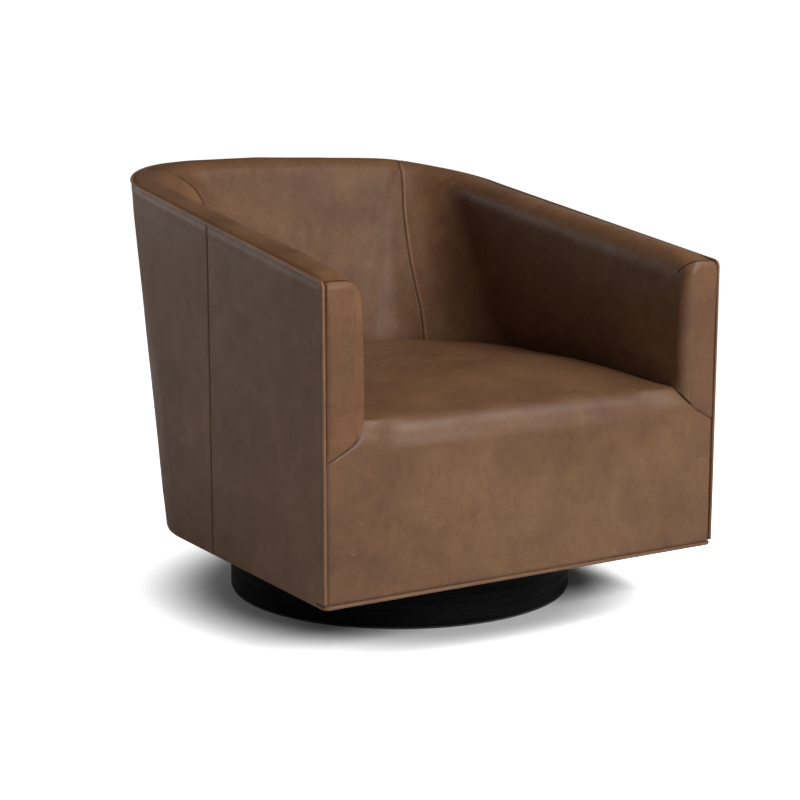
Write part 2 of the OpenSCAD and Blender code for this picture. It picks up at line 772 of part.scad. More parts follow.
// Height of the roll's upper end, where it meets the seat
roll_head_z = seat_base(seat_start_y);
function seat_roll_y(a) = front_y + seat_front_r * (1 - cos(a));
function seat_roll_z(a) = roll_foot_z + (roll_head_z - roll_foot_z) * sin(a);
function seat_roll_pt(c, a, back = 0) =
    [c * arm_in_x(seat_roll_y(a) + back), seat_roll_y(a), seat_roll_z(a)];
seat_us = concat(
    spread(-2, -seam_low, 6), spread(-5 / 6 * seam_low, 5 / 6 * seam_low, 10), spread(seam_low, 2, 6)
);
seat_fs = [0.1, 0.25, 0.42, 0.6, 0.76, 0.89, 0.96, 1];
seat_turns = [25, 42, 60, 80];
ear_tip = seam_at(seam_turn * 0.2, ear_r);
ear_turn = asin((ear_tip[1] - roll_foot_z) / (roll_head_z - roll_foot_z));
// The seat leather from the bottom of the front panel, with its ears under the arm fronts, to the back
function seat_skin() = [for (u = seat_us) let (c = edge(u, inside_line)[0] / inner_half) concat(
    [for (z = [body_z + hem_rise + edge_in, lerp(body_z, face_seam_z, 0.45),
               seam_out_z(half_w - edge_in, ear_r)])
        [c * (half_w - edge_in), front_y, z]],
    [for (k = [1, 0.8, 0.6, 0.4]) let (q = seam_at(seam_turn * k, ear_r)) [c * q[0], front_y, q[1]]],
    [[c * ear_tip[0], seat_roll_y(ear_turn), ear_tip[1]]],
    [for (a = seat_turns) seat_roll_pt(c, a)],
    [for (f = concat([0], seat_fs)) seat_pt(u, f)]
)];
// The part of that surface that lies on the seat foam
function seat_top() = [for (u = seat_us) let (c = edge(u, inside_line)[0] / inner_half) concat(
    [for (a = concat([0], seat_turns)) seat_roll_pt(c, a, skin_t)],
    [for (f = concat([0], seat_fs)) seat_pt(u, f)]
)];
module seat_leather() {
    g = seat_skin();
    color("#8a6144") slab(g, sink(g, leather_t));
}
module seat_foam() {
    g = sink(seat_top(), skin_t);
    color("#e6d9b8") slab(g, [for (row = g) [for (p = row) [p[0], p[1], seat_foam_z]]]);
}

// Inside of the arms and back.
// Profile of a station: 0 to 4 cross the top, 5 to 9 go round the roll, 10 to 13 go down
// to the seat and 14 is the edge tucked in below it.
roll_turns = [22, 45, 65, 80, 90];
wall_steps = [0.25, 0.5, 0.78, 1];
tuck_z = join_z - 65;
foam_foot_z = deck_z + 35;
last = 14;
front_turns = [0, 22.5, 45, 67.5];
front_feet = [face_seam_z + 2, roll_foot_z + 15, roll_foot_z + 13.5, roll_foot_z];
function seam_u(j) = j < 10
    ? lerp(seam_top, seam_foot, pow(j / 9, 2))
    : lerp(seam_foot, seam_low, wall_steps[min(j - 10, 3)]);
function crown_at(y) = top_crown * max(0, min(1, (y - arm_start_y) / crown_fade));
// The leather's visible surface: phi runs from 0 to 90 round the front edge of an arm
function skin_pt(u, phi, j, stop) =
    let (e = arm_edge_r * (1 - sin(phi)),
         w = wall_t - e,
         r = roll_r - e,
         shift = [0, phi < 90 ? -arm_edge_r * cos(phi) : 0, 0],
         zt = top_z(u, stop) + tan(arm_slope) * shift[1] - e)
    j < 10
        ? let (a = j < 5 ? 0 : roll_turns[j - 5],
               d = j < 5 ? lerp(edge_in, w - r, j / 4) : w - r + r * sin(a),
               lift = crown_at(edge(u, top_line, 0, stop)[1]) * sin(180 * d / w),
               dip = j == 0 ? piping_in : 0)
          shell_pt(u, zt + lift - r * (1 - cos(a)) - dip, d, stop) + shift
        : j < last
            ? let (f = wall_steps[j - 10], p = inside_pt(u, f, 0, w, stop) + shift)
              p + bulge_at(u) * sin(phi) * sin(180 * f) * inward(u, top_line)
            : let (p = edge(u, inside_line, w - wall_t, stop))
              [p[0], p[1], phi < 90 ? front_feet[round(phi / 22.5)] : tuck_z] + shift;
function side_v(y, stop) = 2 + (top_side_y - y) / (top_side_y - stop);
arm_us = function (j, stop, gap) concat(
    [3, side_v(arm_start_y + crown_fade, stop), 2.4, 2],
    [for (k = [1:6]) lerp(2, seam_u(j) + gap, k / 6)]
);
// Edge of the flat arm front: down beside the piping, then along the seam over the seat's front
face_x = half_w - edge_in;
face_r = face_seam_r - lay / 2;
function face_rim(j) = j < 9
    ? [face_x, front_y, lerp(arm_z - arm_edge_r - piping_in - 4, seam_out_z(face_x, face_r), j / 8)]
    : let (q = seam_at(seam_turn * (last - j) / (last - 9), face_r)) [q[0], front_y, q[1]];
function arm_skin() = let (stop = arm_start_y, n = len(arm_us(0, stop, join_u))) concat(
    [[for (j = [0:last]) face_rim(j)]],
    [for (phi = front_turns) [for (j = [0:last]) skin_pt(3, phi, j, stop)]],
    [for (k = [0:n - 1]) [for (j = [0:last]) skin_pt(arm_us(j, stop, join_u)[k], 90, j, stop)]]
);
back_steps = spread(1, -1, 12);
function back_skin(first, gap) = [for (s = back_steps) [for (j = [first:last])
    skin_pt(s * (seam_u(j) - gap), 90, j, front_y)]];
// The foam's back: over the top rail, down its inner face and then along the lining
function foam_pt(u, j, stop, play = 0) =
    let (zt = top_z(u, stop))
    j < 5 ? shell_pt(u, zt - top_pad_t, lerp(frame_d, foam_d, j / 4), stop)
        : j < 9 ? shell_pt(u, zt - lerp(top_pad_t, roll_r, (j - 4) / 5), foam_d, stop)
        : j == 9 ? inside_pt(u, 0, foam_off - play, wall_t, stop)
        : j < last ? inside_pt(u, wall_steps[j - 10], foam_off - play, wall_t, stop)
        : let (p = edge(u, inside_line, play - foam_off, stop)) [p[0], p[1], tuck_z];
module arm_leather() {
    g = arm_skin();
    color("#6f4d38") slab(g, sink(g, leather_t));
}
module arm_foam() {
    n = len(arm_us(0, rail_y, foam_join));
    g = [for (k = [0:n - 1]) [for (j = [1:last]) skin_pt(arm_us(j, rail_y, foam_join)[k], 90, j, rail_y)]];
    color("#e6d9b8")
    slab(sink(g, skin_t), [for (k = [0:n - 1]) [for (j = [1:last])
        foam_pt(arm_us(j, rail_y, foam_join)[k], j, rail_y)]]);
}
module arm_leather_right() {
    arm_leather();
}
module arm_leather_left() {
    mirror([1, 0, 0]) arm_leather();
}
module arm_foam_right() {
    arm_foam();
}
module arm_foam_left() {
    mirror([1, 0, 0]) arm_foam();
}
module inside_back_leather() {
    g = back_skin(0, join_u);
    color("#7d573f") slab(g, sink(g, leather_t));
}
module back_foam() {
    g = back_skin(1, foam_join);
    color("#e6d9b8")
    slab(sink(g, skin_t), [for (s = back_steps) [for (j = [1:last])
        foam_pt(s * (seam_u(j) - foam_join), j, front_y, strap_play)]]);
}

// Lining cloth behind the arm foam, and the straps behind the back foam
liner_foot_z = wire_z + wire_r + 6;
function liner_pt(u, j, off) =
    j < last ? inside_pt(u, j == 9 ? 0.1 : wall_steps[j - 10], off, wall_t, rail_y)
        : let (p = edge(u, inside_line, -off, rail_y)) [p[0], p[1], liner_foot_z];
module arm_liners() {
    n = len(arm_us(0, rail_y, join_u));
    wall = function (off) [for (k = [0:n - 1]) [for (j = [9:last])
        liner_pt(arm_us(j, rail_y, join_u)[k], j, off)]];
    color("#b9ab8c") pair() slab(wall(liner_off), wall(liner_off + liner_t));
}
// Place on the inside surface at a given x: f is 0 at the foot of the roll and 1 at the seat
function find_u(x, f, off, a = 0, b = 2, n = 16) = let (m = (a + b) / 2)
    n == 0 ? m
        : inside_pt(m, f, off)[0] < x ? find_u(x, f, off, m, b, n - 1)
        : find_u(x, f, off, a, m, n - 1);
function strap_pt(x, f, off) = inside_pt(side_of(x) * find_u(abs(x), f, off), f, off);
back_face_h = top_z(0) - roll_r - join_z;
module upright_strap(x) {
    xs = [x - strap_w / 2, x, x + strap_w / 2];
    wall = function (off) [for (p = xs) [
        for (l = [0:5]) l < 5 ? strap_pt(p, 0.02 + 0.245 * l, off)
            : [p, edge_y(p, inside_line, -off), deck_z - seat_rail_h / 2]]];
    slab(wall(strap_off), wall(strap_off + liner_t - lay));
}
module level_strap(f) {
    xs = spread(-strap_gap * 1.85, strap_gap * 1.85, 8);
    wall = function (off) [for (p = xs) [for (e = [0, strap_w / back_face_h])
        strap_pt(p, f + e, off)]];
    slab(wall(strap_off), wall(strap_off + liner_t - lay));
}
module back_webbing() {
    color("#4a463f") {
        for (k = [-1.5:1:1.5]) upright_strap(k * strap_gap);
        for (k = [0:2]) level_strap(0.12 + k * strap_rise / back_face_h);
    }
}

// Flat front: plywood, padding and leather
face_in = skin_t + face_pad_t + lay;
function face_roll(r) = [for (a = [90:15:180])
    [inner_half + roll_r + r * cos(a), arm_z - roll_r + r * sin(a)]];
board_x = inner_half + face_in;
module front_panel_board() {
    x = board_x - lay;
    color("#c9a878") box([-x, x], [face_board_y, rail_y - lay], [frame_z, pad_z + deck_pad_t]);
}
module face_board_shape(y, t, grow) {
    front_plate(concat(
        [[board_x - grow, frame_z], [half_w - frame_d + grow, frame_z],
         [half_w - frame_d + grow, arm_z - face_in + grow]],
        face_roll(roll_r - face_in + grow)
    ), y, t);
}
module arm_face_boards() {
    color("#c9a878") pair() face_board_shape(face_board_y, face_board_t, 0);
}
module front_panel_pad() {
    x = half_w - edge_in - lay;
    color("#e6d9b8")
    box([-x, x], [face_pad_y, face_pad_y + face_pad_t],
        [body_z + hem_rise + edge_in + lay, pad_z + deck_pad_t]);
}
// Pad on an arm front, and the strip that leads it round the front edge on the inside
module arm_front_pads() {
    x = half_w - edge_in - lay;
    low = seat_foam_z;
    inner = inner_half + skin_t;
    color("#e6d9b8")
    pair() {
        front_plate(concat(
            [[seam_at(seam_turn * 0.4, face_seam_r)[0] + lay, low], [x, low],
             [x, arm_z - arm_edge_r - piping_in - lay],
             [x - 4, arm_z - arm_edge_r - lay]],
            [for (q = face_roll(roll_r - arm_edge_r - lay)) if (q[0] > inner_half + arm_edge_r + skin_t) q],
            [[inner_half + arm_edge_r + skin_t, arm_z - roll_r],
             [inner_half + arm_edge_r + skin_t, face_seam_z],
             [seam_at(seam_turn * 0.4, face_seam_r)[0] + lay, roll_foot_z]]
        ), face_pad_y, face_pad_t);
        box([inner, board_x - lay], [arm_start_y + skin_t, rail_y - lay], [low, arm_z - roll_r - 8]);
    }
}

// Outside panels: fibre boards with leather over them
shell_us = concat(spread(-2, -1, 8), spread(-0.75, 0.75, 6), spread(1, 2, 8));
board_low = body_z + hem_rise + edge_in + lay;
module side_boards() {
    top_drop = edge_drop + lay;
    color("#9a8a6e")
    pair() side_plate([
        [face_board_y, board_low],
        [lerp(bottom_side_y, top_side_y, (board_low - body_z) / (top_z(2) - body_z)) - lay, board_low],
        [top_side_y - 2, edge_z(top_side_y) - top_drop - 2],
        [lift_start, edge_z(lift_start) - top_drop],
        [face_board_y, edge_z(face_board_y) - top_drop]
    ], half_w - board_d - board_t, board_t);
}
module back_board() {
    wall = function (d) [for (u = shell_us)
        [shell_pt(u, board_low, d), shell_pt(u, top_z(u) - edge_drop - lay, d)]];
    color("#9a8a6e") slab(wall(board_d), wall(board_d + board_t));
}
// Centre and radius of the bend of the outline piping at the front top corners
bend_r = arm_edge_r - piping_in;
bend_y = front_y + arm_edge_r;
bend_z = edge_z(bend_y) - piping_in - bend_r / cos(arm_slope);
module outside_arm_panel() {
    hem_y = front_y + 30;
    hem_z = body_z + hem_rise + edge_in;
    r = bend_r - piping_r - lay;
    side_plate(concat(
        [[front_y + edge_in, hem_z], [hem_y, hem_z], [hem_y, body_z],
         [side_seam_y - lay, body_z], [side_seam_y - lay, edge_z(side_seam_y) - edge_drop]],
        [for (a = spread(90 + arm_slope, 180, 4)) [bend_y + r * cos(a), bend_z + r * sin(a)]]
    ), half_w - leather_t, leather_t);
}
module outside_arm_leather_right() {
    color("#5c4638") outside_arm_panel();
}
module outside_arm_leather_left() {
    color("#5c4638") mirror([1, 0, 0]) outside_arm_panel();
}
module outside_back_leather() {
    stop = side_seam_y + lay;
    wall = function (d) [for (u = concat([-3], shell_us, [3]))
        [shell_pt(u, body_z, d, stop), shell_pt(u, top_z(u, stop) - edge_drop, d, stop)]];
    color("#5c4638") slab(wall(0), wall(leather_t));
}

// Piping
function out_of(u) = -inward(u, top_line);
outline_half = concat(
    [for (z = [body_z + hem_rise + piping_in + 2 * piping_r + lay, lerp(body_z, bend_z, 0.5), bend_z])
        [[half_w - piping_in, front_y + piping_in, z], [1, 0, 0]]],
    [for (a = spread(180, 90 + arm_slope, 4)) if (a < 179)
        [[half_w - piping_in, bend_y + bend_r * cos(a), bend_z + bend_r * sin(a)], [1, 0, 0]]],
    [for (u = concat([2.5], spread(2, 1, 8), [0.75, 0.5, 0.25]))
        [shell_pt(u, top_z(u) - piping_in, piping_in), out_of(u)]]
);
function flip(q) = [[-q[0][0], q[0][1], q[0][2]], [-q[1][0], q[1][1], q[1][2]]];
module outline_piping() {
    n = len(outline_half);
    color("#8f6a4b")
    tube(concat(
        outline_half,
        [[shell_pt(0, top_z(0) - piping_in, piping_in), [0, 1, 0]]],
        [for (k = [n - 1:-1:0]) flip(outline_half[k])]
    ), piping_r);
}
module bottom_piping() {
    r = piping_bend_r;
    x = half_w - piping_in - r;
    y = front_y + piping_in + r;
    z = body_z + hem_rise + piping_in;
    half = concat(
        [[[x + r, front_y + 25, z], [1, 0, 0]]],
        [for (a = [0:22.5:90]) [[x + r * cos(a), y - r * sin(a), z], [cos(a), -sin(a), 0]]],
        [[[x / 2, y - r, z], [0, -1, 0]]]
    );
    n = len(half);
    color("#8f6a4b")
    tube(concat(half, [for (k = [n - 1:-1:0]) flip(half[k])]), piping_r);
}

floor_ring();
plinth_ring();
plinth_top();
plinth_brace_long();
plinth_brace_cross();
glue_blocks();
swivel_base_plate();
swivel_pivot();
base_plate_bolts();
bearing_balls();
ball_cage();
swivel_top_plate();
top_plate_screws();
dust_cover();
swivel_bearers();
front_bottom_rail();
side_bottom_rails();
corner_bottom_rails();
back_bottom_rail();
corner_blocks();
seat_stub_legs();
front_posts();
rear_posts();
back_stiles();
front_seat_rail();
side_seat_rails();
corner_seat_rails();
back_seat_rail();
arm_rails();
corner_top_rails();
back_top_rail();
seat_springs();
spring_clips();
seat_deck_pad();
seat_foam();
arm_liners();
back_webbing();
arm_foam_left();
arm_foam_right();
back_foam();
front_panel_board();
arm_face_boards();
front_panel_pad();
arm_front_pads();
side_boards();
back_board();
seat_leather();
inside_back_leather();
arm_leather_left();
arm_leather_right();
outside_arm_leather_left();
outside_arm_leather_right();
outside_back_leather();
outline_piping();
bottom_piping();
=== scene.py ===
import math

import bpy
import numpy as np
from mathutils import Matrix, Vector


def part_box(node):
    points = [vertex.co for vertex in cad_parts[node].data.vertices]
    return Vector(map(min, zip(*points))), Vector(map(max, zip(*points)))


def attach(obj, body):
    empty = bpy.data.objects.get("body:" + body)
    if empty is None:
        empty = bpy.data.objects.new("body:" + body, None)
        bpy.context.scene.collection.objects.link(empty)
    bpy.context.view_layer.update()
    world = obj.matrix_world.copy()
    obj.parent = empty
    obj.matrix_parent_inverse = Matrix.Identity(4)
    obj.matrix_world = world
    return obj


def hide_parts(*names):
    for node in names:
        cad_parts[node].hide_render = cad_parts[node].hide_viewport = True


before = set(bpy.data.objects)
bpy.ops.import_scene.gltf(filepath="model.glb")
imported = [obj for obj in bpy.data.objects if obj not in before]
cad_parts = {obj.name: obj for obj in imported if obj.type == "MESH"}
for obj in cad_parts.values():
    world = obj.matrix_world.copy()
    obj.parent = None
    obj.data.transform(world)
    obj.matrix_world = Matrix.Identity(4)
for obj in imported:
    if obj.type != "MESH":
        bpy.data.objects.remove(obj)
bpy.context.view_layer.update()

scene = bpy.context.scene

# Sizes of the chair in millimetres, as in its CAD source
MM = 0.001
HALF_W, FRONT_Y = 380.0, -405.0
BODY_Z, ARM_Z, JOIN_Z, SEAT_Z = 102.0, 591.0, 400.0, 415.0
SLOPE_DEG, LIFT_START, LIFT_GAIN = 9.76, 200.0, 1.15
SLOPE = math.radians(SLOPE_DEG)
CROWN_FRONT, CROWN_BACK, CROWN_FADE = 7.5, 4.2, 45.0
ROLL_R, ARM_R, EDGE_R = 24.0, 12.0, 20.0
ROLL_FRONT, ROLL_BACK, ROLL_RUN = 32.0, 36.0, 120.0
THIN_TOP, THIN_LOW, THIN_RUN = 8.0, 4.0, 140.0
TOP = (HALF_W, 257.0, 203.0, 1537.0)
BOTTOM = (HALF_W, 122.0, 250.0, 1402.0)
LEATHER, WALL, FOAM_D, FRAME_D, TOP_PAD = 1.8, 79.6, 32.5, 5.4, 12.0
INNER = HALF_W - WALL
INSIDE = (INNER, 68.0, 218.0, 1300.0)
FOAM_OFF = 47.1
PIPE_R, PIPE_IN, EDGE_IN, EDGE_DROP = 3.0, 1.5, 4.8, 4.848
ARM_START = FRONT_Y + ARM_R
SIDE_SEAM = -17.0
HEM_Z = BODY_Z + 2.0 + EDGE_IN
FACE_X = HALF_W - EDGE_IN
SEAM_X, SEAM_Z, SEAM_R, SEAM_TURN = 362.0, 384.0, 48.0, 62.0
BEND_R = ARM_R - PIPE_IN
TUCK_Z = 335.0
SEAT_CROWN, SEAT_FALL_L = 14.0, 273.0
MIRROR = np.array([-1, 1, 1.0])


def lerp(a, b, f):
    return a + (b - a) * f


def smooth(x):
    x = np.clip(x, 0.0, 1.0)
    return x * x * (3 - 2 * x)


def bell(x, width):
    """1 where x is 0, and next to nothing at twice the width."""
    return np.exp(-(x / width) ** 2)


def points(*xyz):
    """Points from their x, y and z, of which each may be a single value."""
    return np.stack(np.broadcast_arrays(*xyz), -1)


def join(*parts):
    """Arrays one after the other."""
    return np.concatenate(parts)


# Outlines: a place u is 0 in the middle of the back, 1 and 2 at the ends of the corner arc
# and 3 at the front, with u below 0 on the left
def back_turn(o):
    return math.asin((o[0] - o[2]) / (o[3] - o[2]))


def both_sides(u):
    """Places from the right side to the middle, carried on over the left side."""
    return join(u, -u[::-1][1:])


def turn(u, o):
    v, h = np.abs(u), back_turn(o)
    return np.where(v <= 1, v * h, np.where(v <= 2, lerp(h, math.pi / 2, v - 1), math.pi / 2))


def edge(u, o, d=0.0, stop=FRONT_Y):
    v, t = np.abs(u), turn(u, o)
    cy = o[1] - (o[3] - o[2]) * math.cos(back_turn(o))
    x = np.where(v <= 1, (o[3] - d) * np.sin(t),
                 np.where(v <= 2, o[0] - o[2] + (o[2] - d) * np.sin(t), o[0] - d))
    y = np.where(v <= 1, cy + (o[3] - d) * np.cos(t),
                 np.where(v <= 2, o[1] + (o[2] - d) * np.cos(t), lerp(o[1], stop, v - 2)))
    return np.where(u < 0, -x, x), y


def edge_z(y):
    """Height of the body's upper edge, without its piping."""
    lift = LIFT_GAIN * (np.maximum(0, y - LIFT_START) / 100) ** 2
    return ARM_Z + math.tan(SLOPE) * (y - FRONT_Y) + lift


# Height of the centre of the piping's bend at the top of an arm front, above ARM_START
BEND_Z = edge_z(ARM_START) - PIPE_IN - BEND_R / math.cos(SLOPE)


def shell(u, z, d=0.0, stop=FRONT_Y):
    top = edge_z(edge(u, TOP, 0, stop)[1])
    f = (z - BODY_Z) / (top - BODY_Z)
    (x0, y0), (x1, y1) = edge(u, BOTTOM, d, stop), edge(u, TOP, d, stop)
    return points(lerp(x0, x1, f), lerp(y0, y1, f), z)


def inward(u):
    t = turn(u, TOP)
    return points(-np.where(u < 0, -1, 1) * np.sin(t), -np.cos(t), 0 * t)


def thinning(y):
    """1 at the arm fronts, where the arms are a little thinner, and 0 behind them."""
    return 1 - smooth((y - ARM_START) / THIN_RUN)


def edge_r(s):
    """Radius of an arm front's rounded edge: that of the piping on top, more down the inside."""
    return lerp(ARM_R, EDGE_R, smooth(s - 1))


def padding(u, s, stop, phi=90.0):
    """The leather over the padding: s runs 0 to 1 across the top, to 2 round the roll,
    to 3 down the inside and to 4 along the edge tucked in below the seat. phi is the angle
    round the soft edge of an arm front, 0 in the front plane and 90 behind the edge."""
    u, s, phi = np.broadcast_arrays(np.asarray(u, float), np.asarray(s, float), np.asarray(phi, float))
    sp, cp = np.sin(np.radians(phi)), np.cos(np.radians(phi))
    e = edge_r(s) * (1 - sp)
    shift = -edge_r(s) * cp
    y_top = edge(u, TOP, 0, stop)[1]
    roll = lerp(ROLL_FRONT, ROLL_BACK, smooth((y_top - ARM_START) / ROLL_RUN))
    near = thinning(y_top)
    w, r = WALL - THIN_TOP * near - e, roll - e
    zt = edge_z(y_top) + math.tan(SLOPE) * shift - e
    a = np.radians(90 * np.clip(s - 1, 0, 1))
    d = np.where(s < 1, lerp(EDGE_IN, w - r, np.clip(s, 0, 1)), w - r + r * np.sin(a))
    crown = lerp(CROWN_FRONT, CROWN_BACK, smooth((y_top + 330) / 400))
    lift = crown * smooth((y_top - ARM_START + 6) / CROWN_FADE) * np.sin(np.pi * d / w)
    dip = PIPE_IN * (1 - smooth((d - EDGE_IN) / 7.0))
    upper = shell(u, zt + lift * (s < 2) - r * (1 - np.cos(a)) - dip, d, stop)
    f = np.clip(s - 2, 0, 1)
    high = shell(u, zt + e - roll, w, stop)
    lx, ly = edge(u, INSIDE, -THIN_LOW * near - e, stop)
    low = points(lx, ly, JOIN_Z)
    bulge = lerp(8.0, 4.0, np.minimum(1, np.abs(u) / 2)) * lerp(1.0, 0.6, near) * sp * np.sin(np.pi * f)
    wall = lerp(high, low, f[..., None]) + bulge[..., None] * inward(u)
    g = np.clip(s - 3, 0, 1)
    wall[..., 2] = wall[..., 2] - g * (JOIN_Z - TUCK_Z)
    p = np.where((s < 2)[..., None], upper, wall)
    p[..., 1] += shift
    return p


# The two seams of the inside back run from the piping, over the roll, to the seat. Each is a
# row of s and the row of u that belongs to it.
RIGHT_SEAM = ((0.0, 1.0, 1.4, 2.18, 2.52, 2.79, 3.0), (1.25, 1.22, 1.20, 1.225, 1.285, 1.345, 1.36))
LEFT_SEAM = ((0.0, 0.9, 1.35, 1.65, 1.9, 2.1, 3.0), (1.45, 1.48, 1.46, 1.385, 1.29, 1.16, 1.36))


def seam_u(s, side):
    keys = RIGHT_SEAM if side > 0 else LEFT_SEAM
    return np.interp(np.clip(s, 0, 3), *keys)


# Soft unevenness of stuffed leather, as a sum of fixed waves
def make_waves(seed, low, high, count):
    rng = np.random.default_rng(seed)
    k = rng.normal(size=(count, 3))
    k /= np.linalg.norm(k, axis=1, keepdims=True)
    length = np.geomspace(high, low, count)
    k *= (2 * np.pi / length)[:, None]
    return k, rng.uniform(0, 2 * np.pi, count), length / high


def waves(p, seed, low=45.0, high=160.0, count=14):
    k, phase, size = make_waves(seed, low, high, count)
    return (np.sin(p @ k.T + phase) * size).sum(-1) / math.sqrt(count)


def normals(g, away):
    """Unit normals of a grid, on the side that away points to at the grid's middle."""
    n = np.cross(np.gradient(g, axis=0), np.gradient(g, axis=1))
    n /= np.maximum(np.linalg.norm(n, axis=-1, keepdims=True), 1e-9)
    middle = n[g.shape[0] // 2, g.shape[1] // 2]
    return -n if middle @ np.asarray(away, float) < 0 else n


def soften(g, i0=0, i1=None, rounds=2):
    """Grid smoothed along its columns between i0 and i1."""
    i1 = g.shape[1] - 1 if i1 is None else i1
    for _ in range(rounds):
        g[:, i0 + 1:i1] = (g[:, i0:i1 - 1] + 2 * g[:, i0 + 1:i1] + g[:, i0 + 2:i1 + 1]) / 4
    return g


# Meshes
SHARP = math.radians(50)


def linked(name, data):
    """New object in the scene."""
    ob = bpy.data.objects.new(name, data)
    scene.collection.objects.link(ob)
    return ob


def new_object(name, pts, faces, mat, painted_shading=None):
    """Smooth mesh that rides on the chair's body. Its optional per-point values are painted shade and
    painted highlight, which its leather reads.
    """
    me = bpy.data.meshes.new(name)
    me.from_pydata((np.asarray(pts) * MM).tolist(), [], faces)
    me.validate()
    me.polygons.foreach_set("use_smooth", [True] * len(me.polygons))
    if painted_shading is not None:
        at = me.attributes.new("painted_shading", "FLOAT", "POINT")
        at.data.foreach_set("value", np.asarray(painted_shading, np.float32).ravel())
    me.set_sharp_from_angle(angle=SHARP)
    me.materials.append(mat)
    ob = linked(name, me)
    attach(ob, "chair")
    return ob


def slab_faces(n, m):
    """Faces of a closed solid between two n by m grids, the second one's points after the
    first's. The first (n - 1) * (m - 1) of them are the first grid's own."""
    p = np.arange(n * m).reshape(n, m)
    a = p[:-1, :-1].ravel()
    top = np.stack([a, a + 1, a + m + 1, a + m], -1)
    back = top[:, ::-1] + n * m
    sides = ((p[:-1, 0], p[1:, 0]), (p[1:, -1], p[:-1, -1]), (p[0, 1:], p[0, :-1]),
             (p[-1, :-1], p[-1, 1:]))
    rims = [np.stack([b, c, c + n * m, b + n * m], -1) for b, c in sides]
    return join(top, back, *rims).tolist()


def slab(name, front, back, mat, painted_shading=None, outward=None):
    """Closed solid between two grids. outward is the direction that the middle of front faces."""
    n, m = front.shape[:2]
    i, j = n // 2, m // 2
    c = np.cross(front[i, j] - front[i - 1, j], front[i, j] - front[i, j - 1])
    away = front[i, j] - back[i, j] if outward is None else np.asarray(outward, float)
    faces = slab_faces(n, m)
    # the front's faces turn from the column step to the row step, against c
    if c @ away > 0:
        faces = [f[::-1] for f in faces]
    both = None if painted_shading is None else join(painted_shading.ravel(), painted_shading.ravel())
    pts = join(front.reshape(-1, 3), back.reshape(-1, 3))
    return new_object(name, pts, faces, mat, both)


def leather_piece(name, g, amount, node, mat, painted_shading, away):
    """Leather of its real thickness, in place of a CAD node. Its outside is the grid g, moved
    by amount along its normals, on the side that away points to."""
    g = push(g, amount, away)
    ob = slab(name, g, g - LEATHER * normals(g, away), mat, painted_shading)
    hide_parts(node)


def push(g, amount, away):
    """Grid moved by amount along its own normals, on the side that away points to."""
    return g + np.asarray(amount)[..., None] * normals(g, away)


def edge_distance(g, axis, end):
    """Distance of each point of a grid along its row or column to that end, in millimetres."""
    if end:
        return np.flip(edge_distance(np.flip(g, axis), axis, False), axis)
    step = np.linalg.norm(np.diff(g, axis=axis), axis=-1)
    return np.insert(np.cumsum(step, axis=axis), 0, 0.0, axis=axis)


def both_ends(g, axis):
    """Distances of each point of a grid along its row or column from both ends."""
    return edge_distance(g, axis, False), edge_distance(g, axis, True)


def rim_distance(g):
    """Distance of each point of a grid to the nearest of its four edges."""
    return np.minimum.reduce([*both_ends(g, 0), *both_ends(g, 1)])


# What the stuffing does to a cover
SWELL_FRAMES = 20


def stations(g, axis):
    """Mean distance of each row or column of a grid from its first one."""
    step = np.linalg.norm(np.diff(g, axis=axis), axis=-1).mean(1 - axis)
    return join([0], np.cumsum(step))


def spaced(at, step):
    """Indices at least step apart, with both ends."""
    keep = [0]
    for k in range(1, len(at) - 1):
        if at[k] - at[keep[-1]] >= step and at[-1] - at[k] >= 0.6 * step:
            keep.append(k)
    return np.array(keep + [len(at) - 1])


def spread(at, keep, width):
    """Weights that carry values at the kept places of a row to all of its places."""
    w = np.exp(-((at[:, None] - at[keep][None, :]) / width) ** 2)
    return w / w.sum(1, keepdims=True)


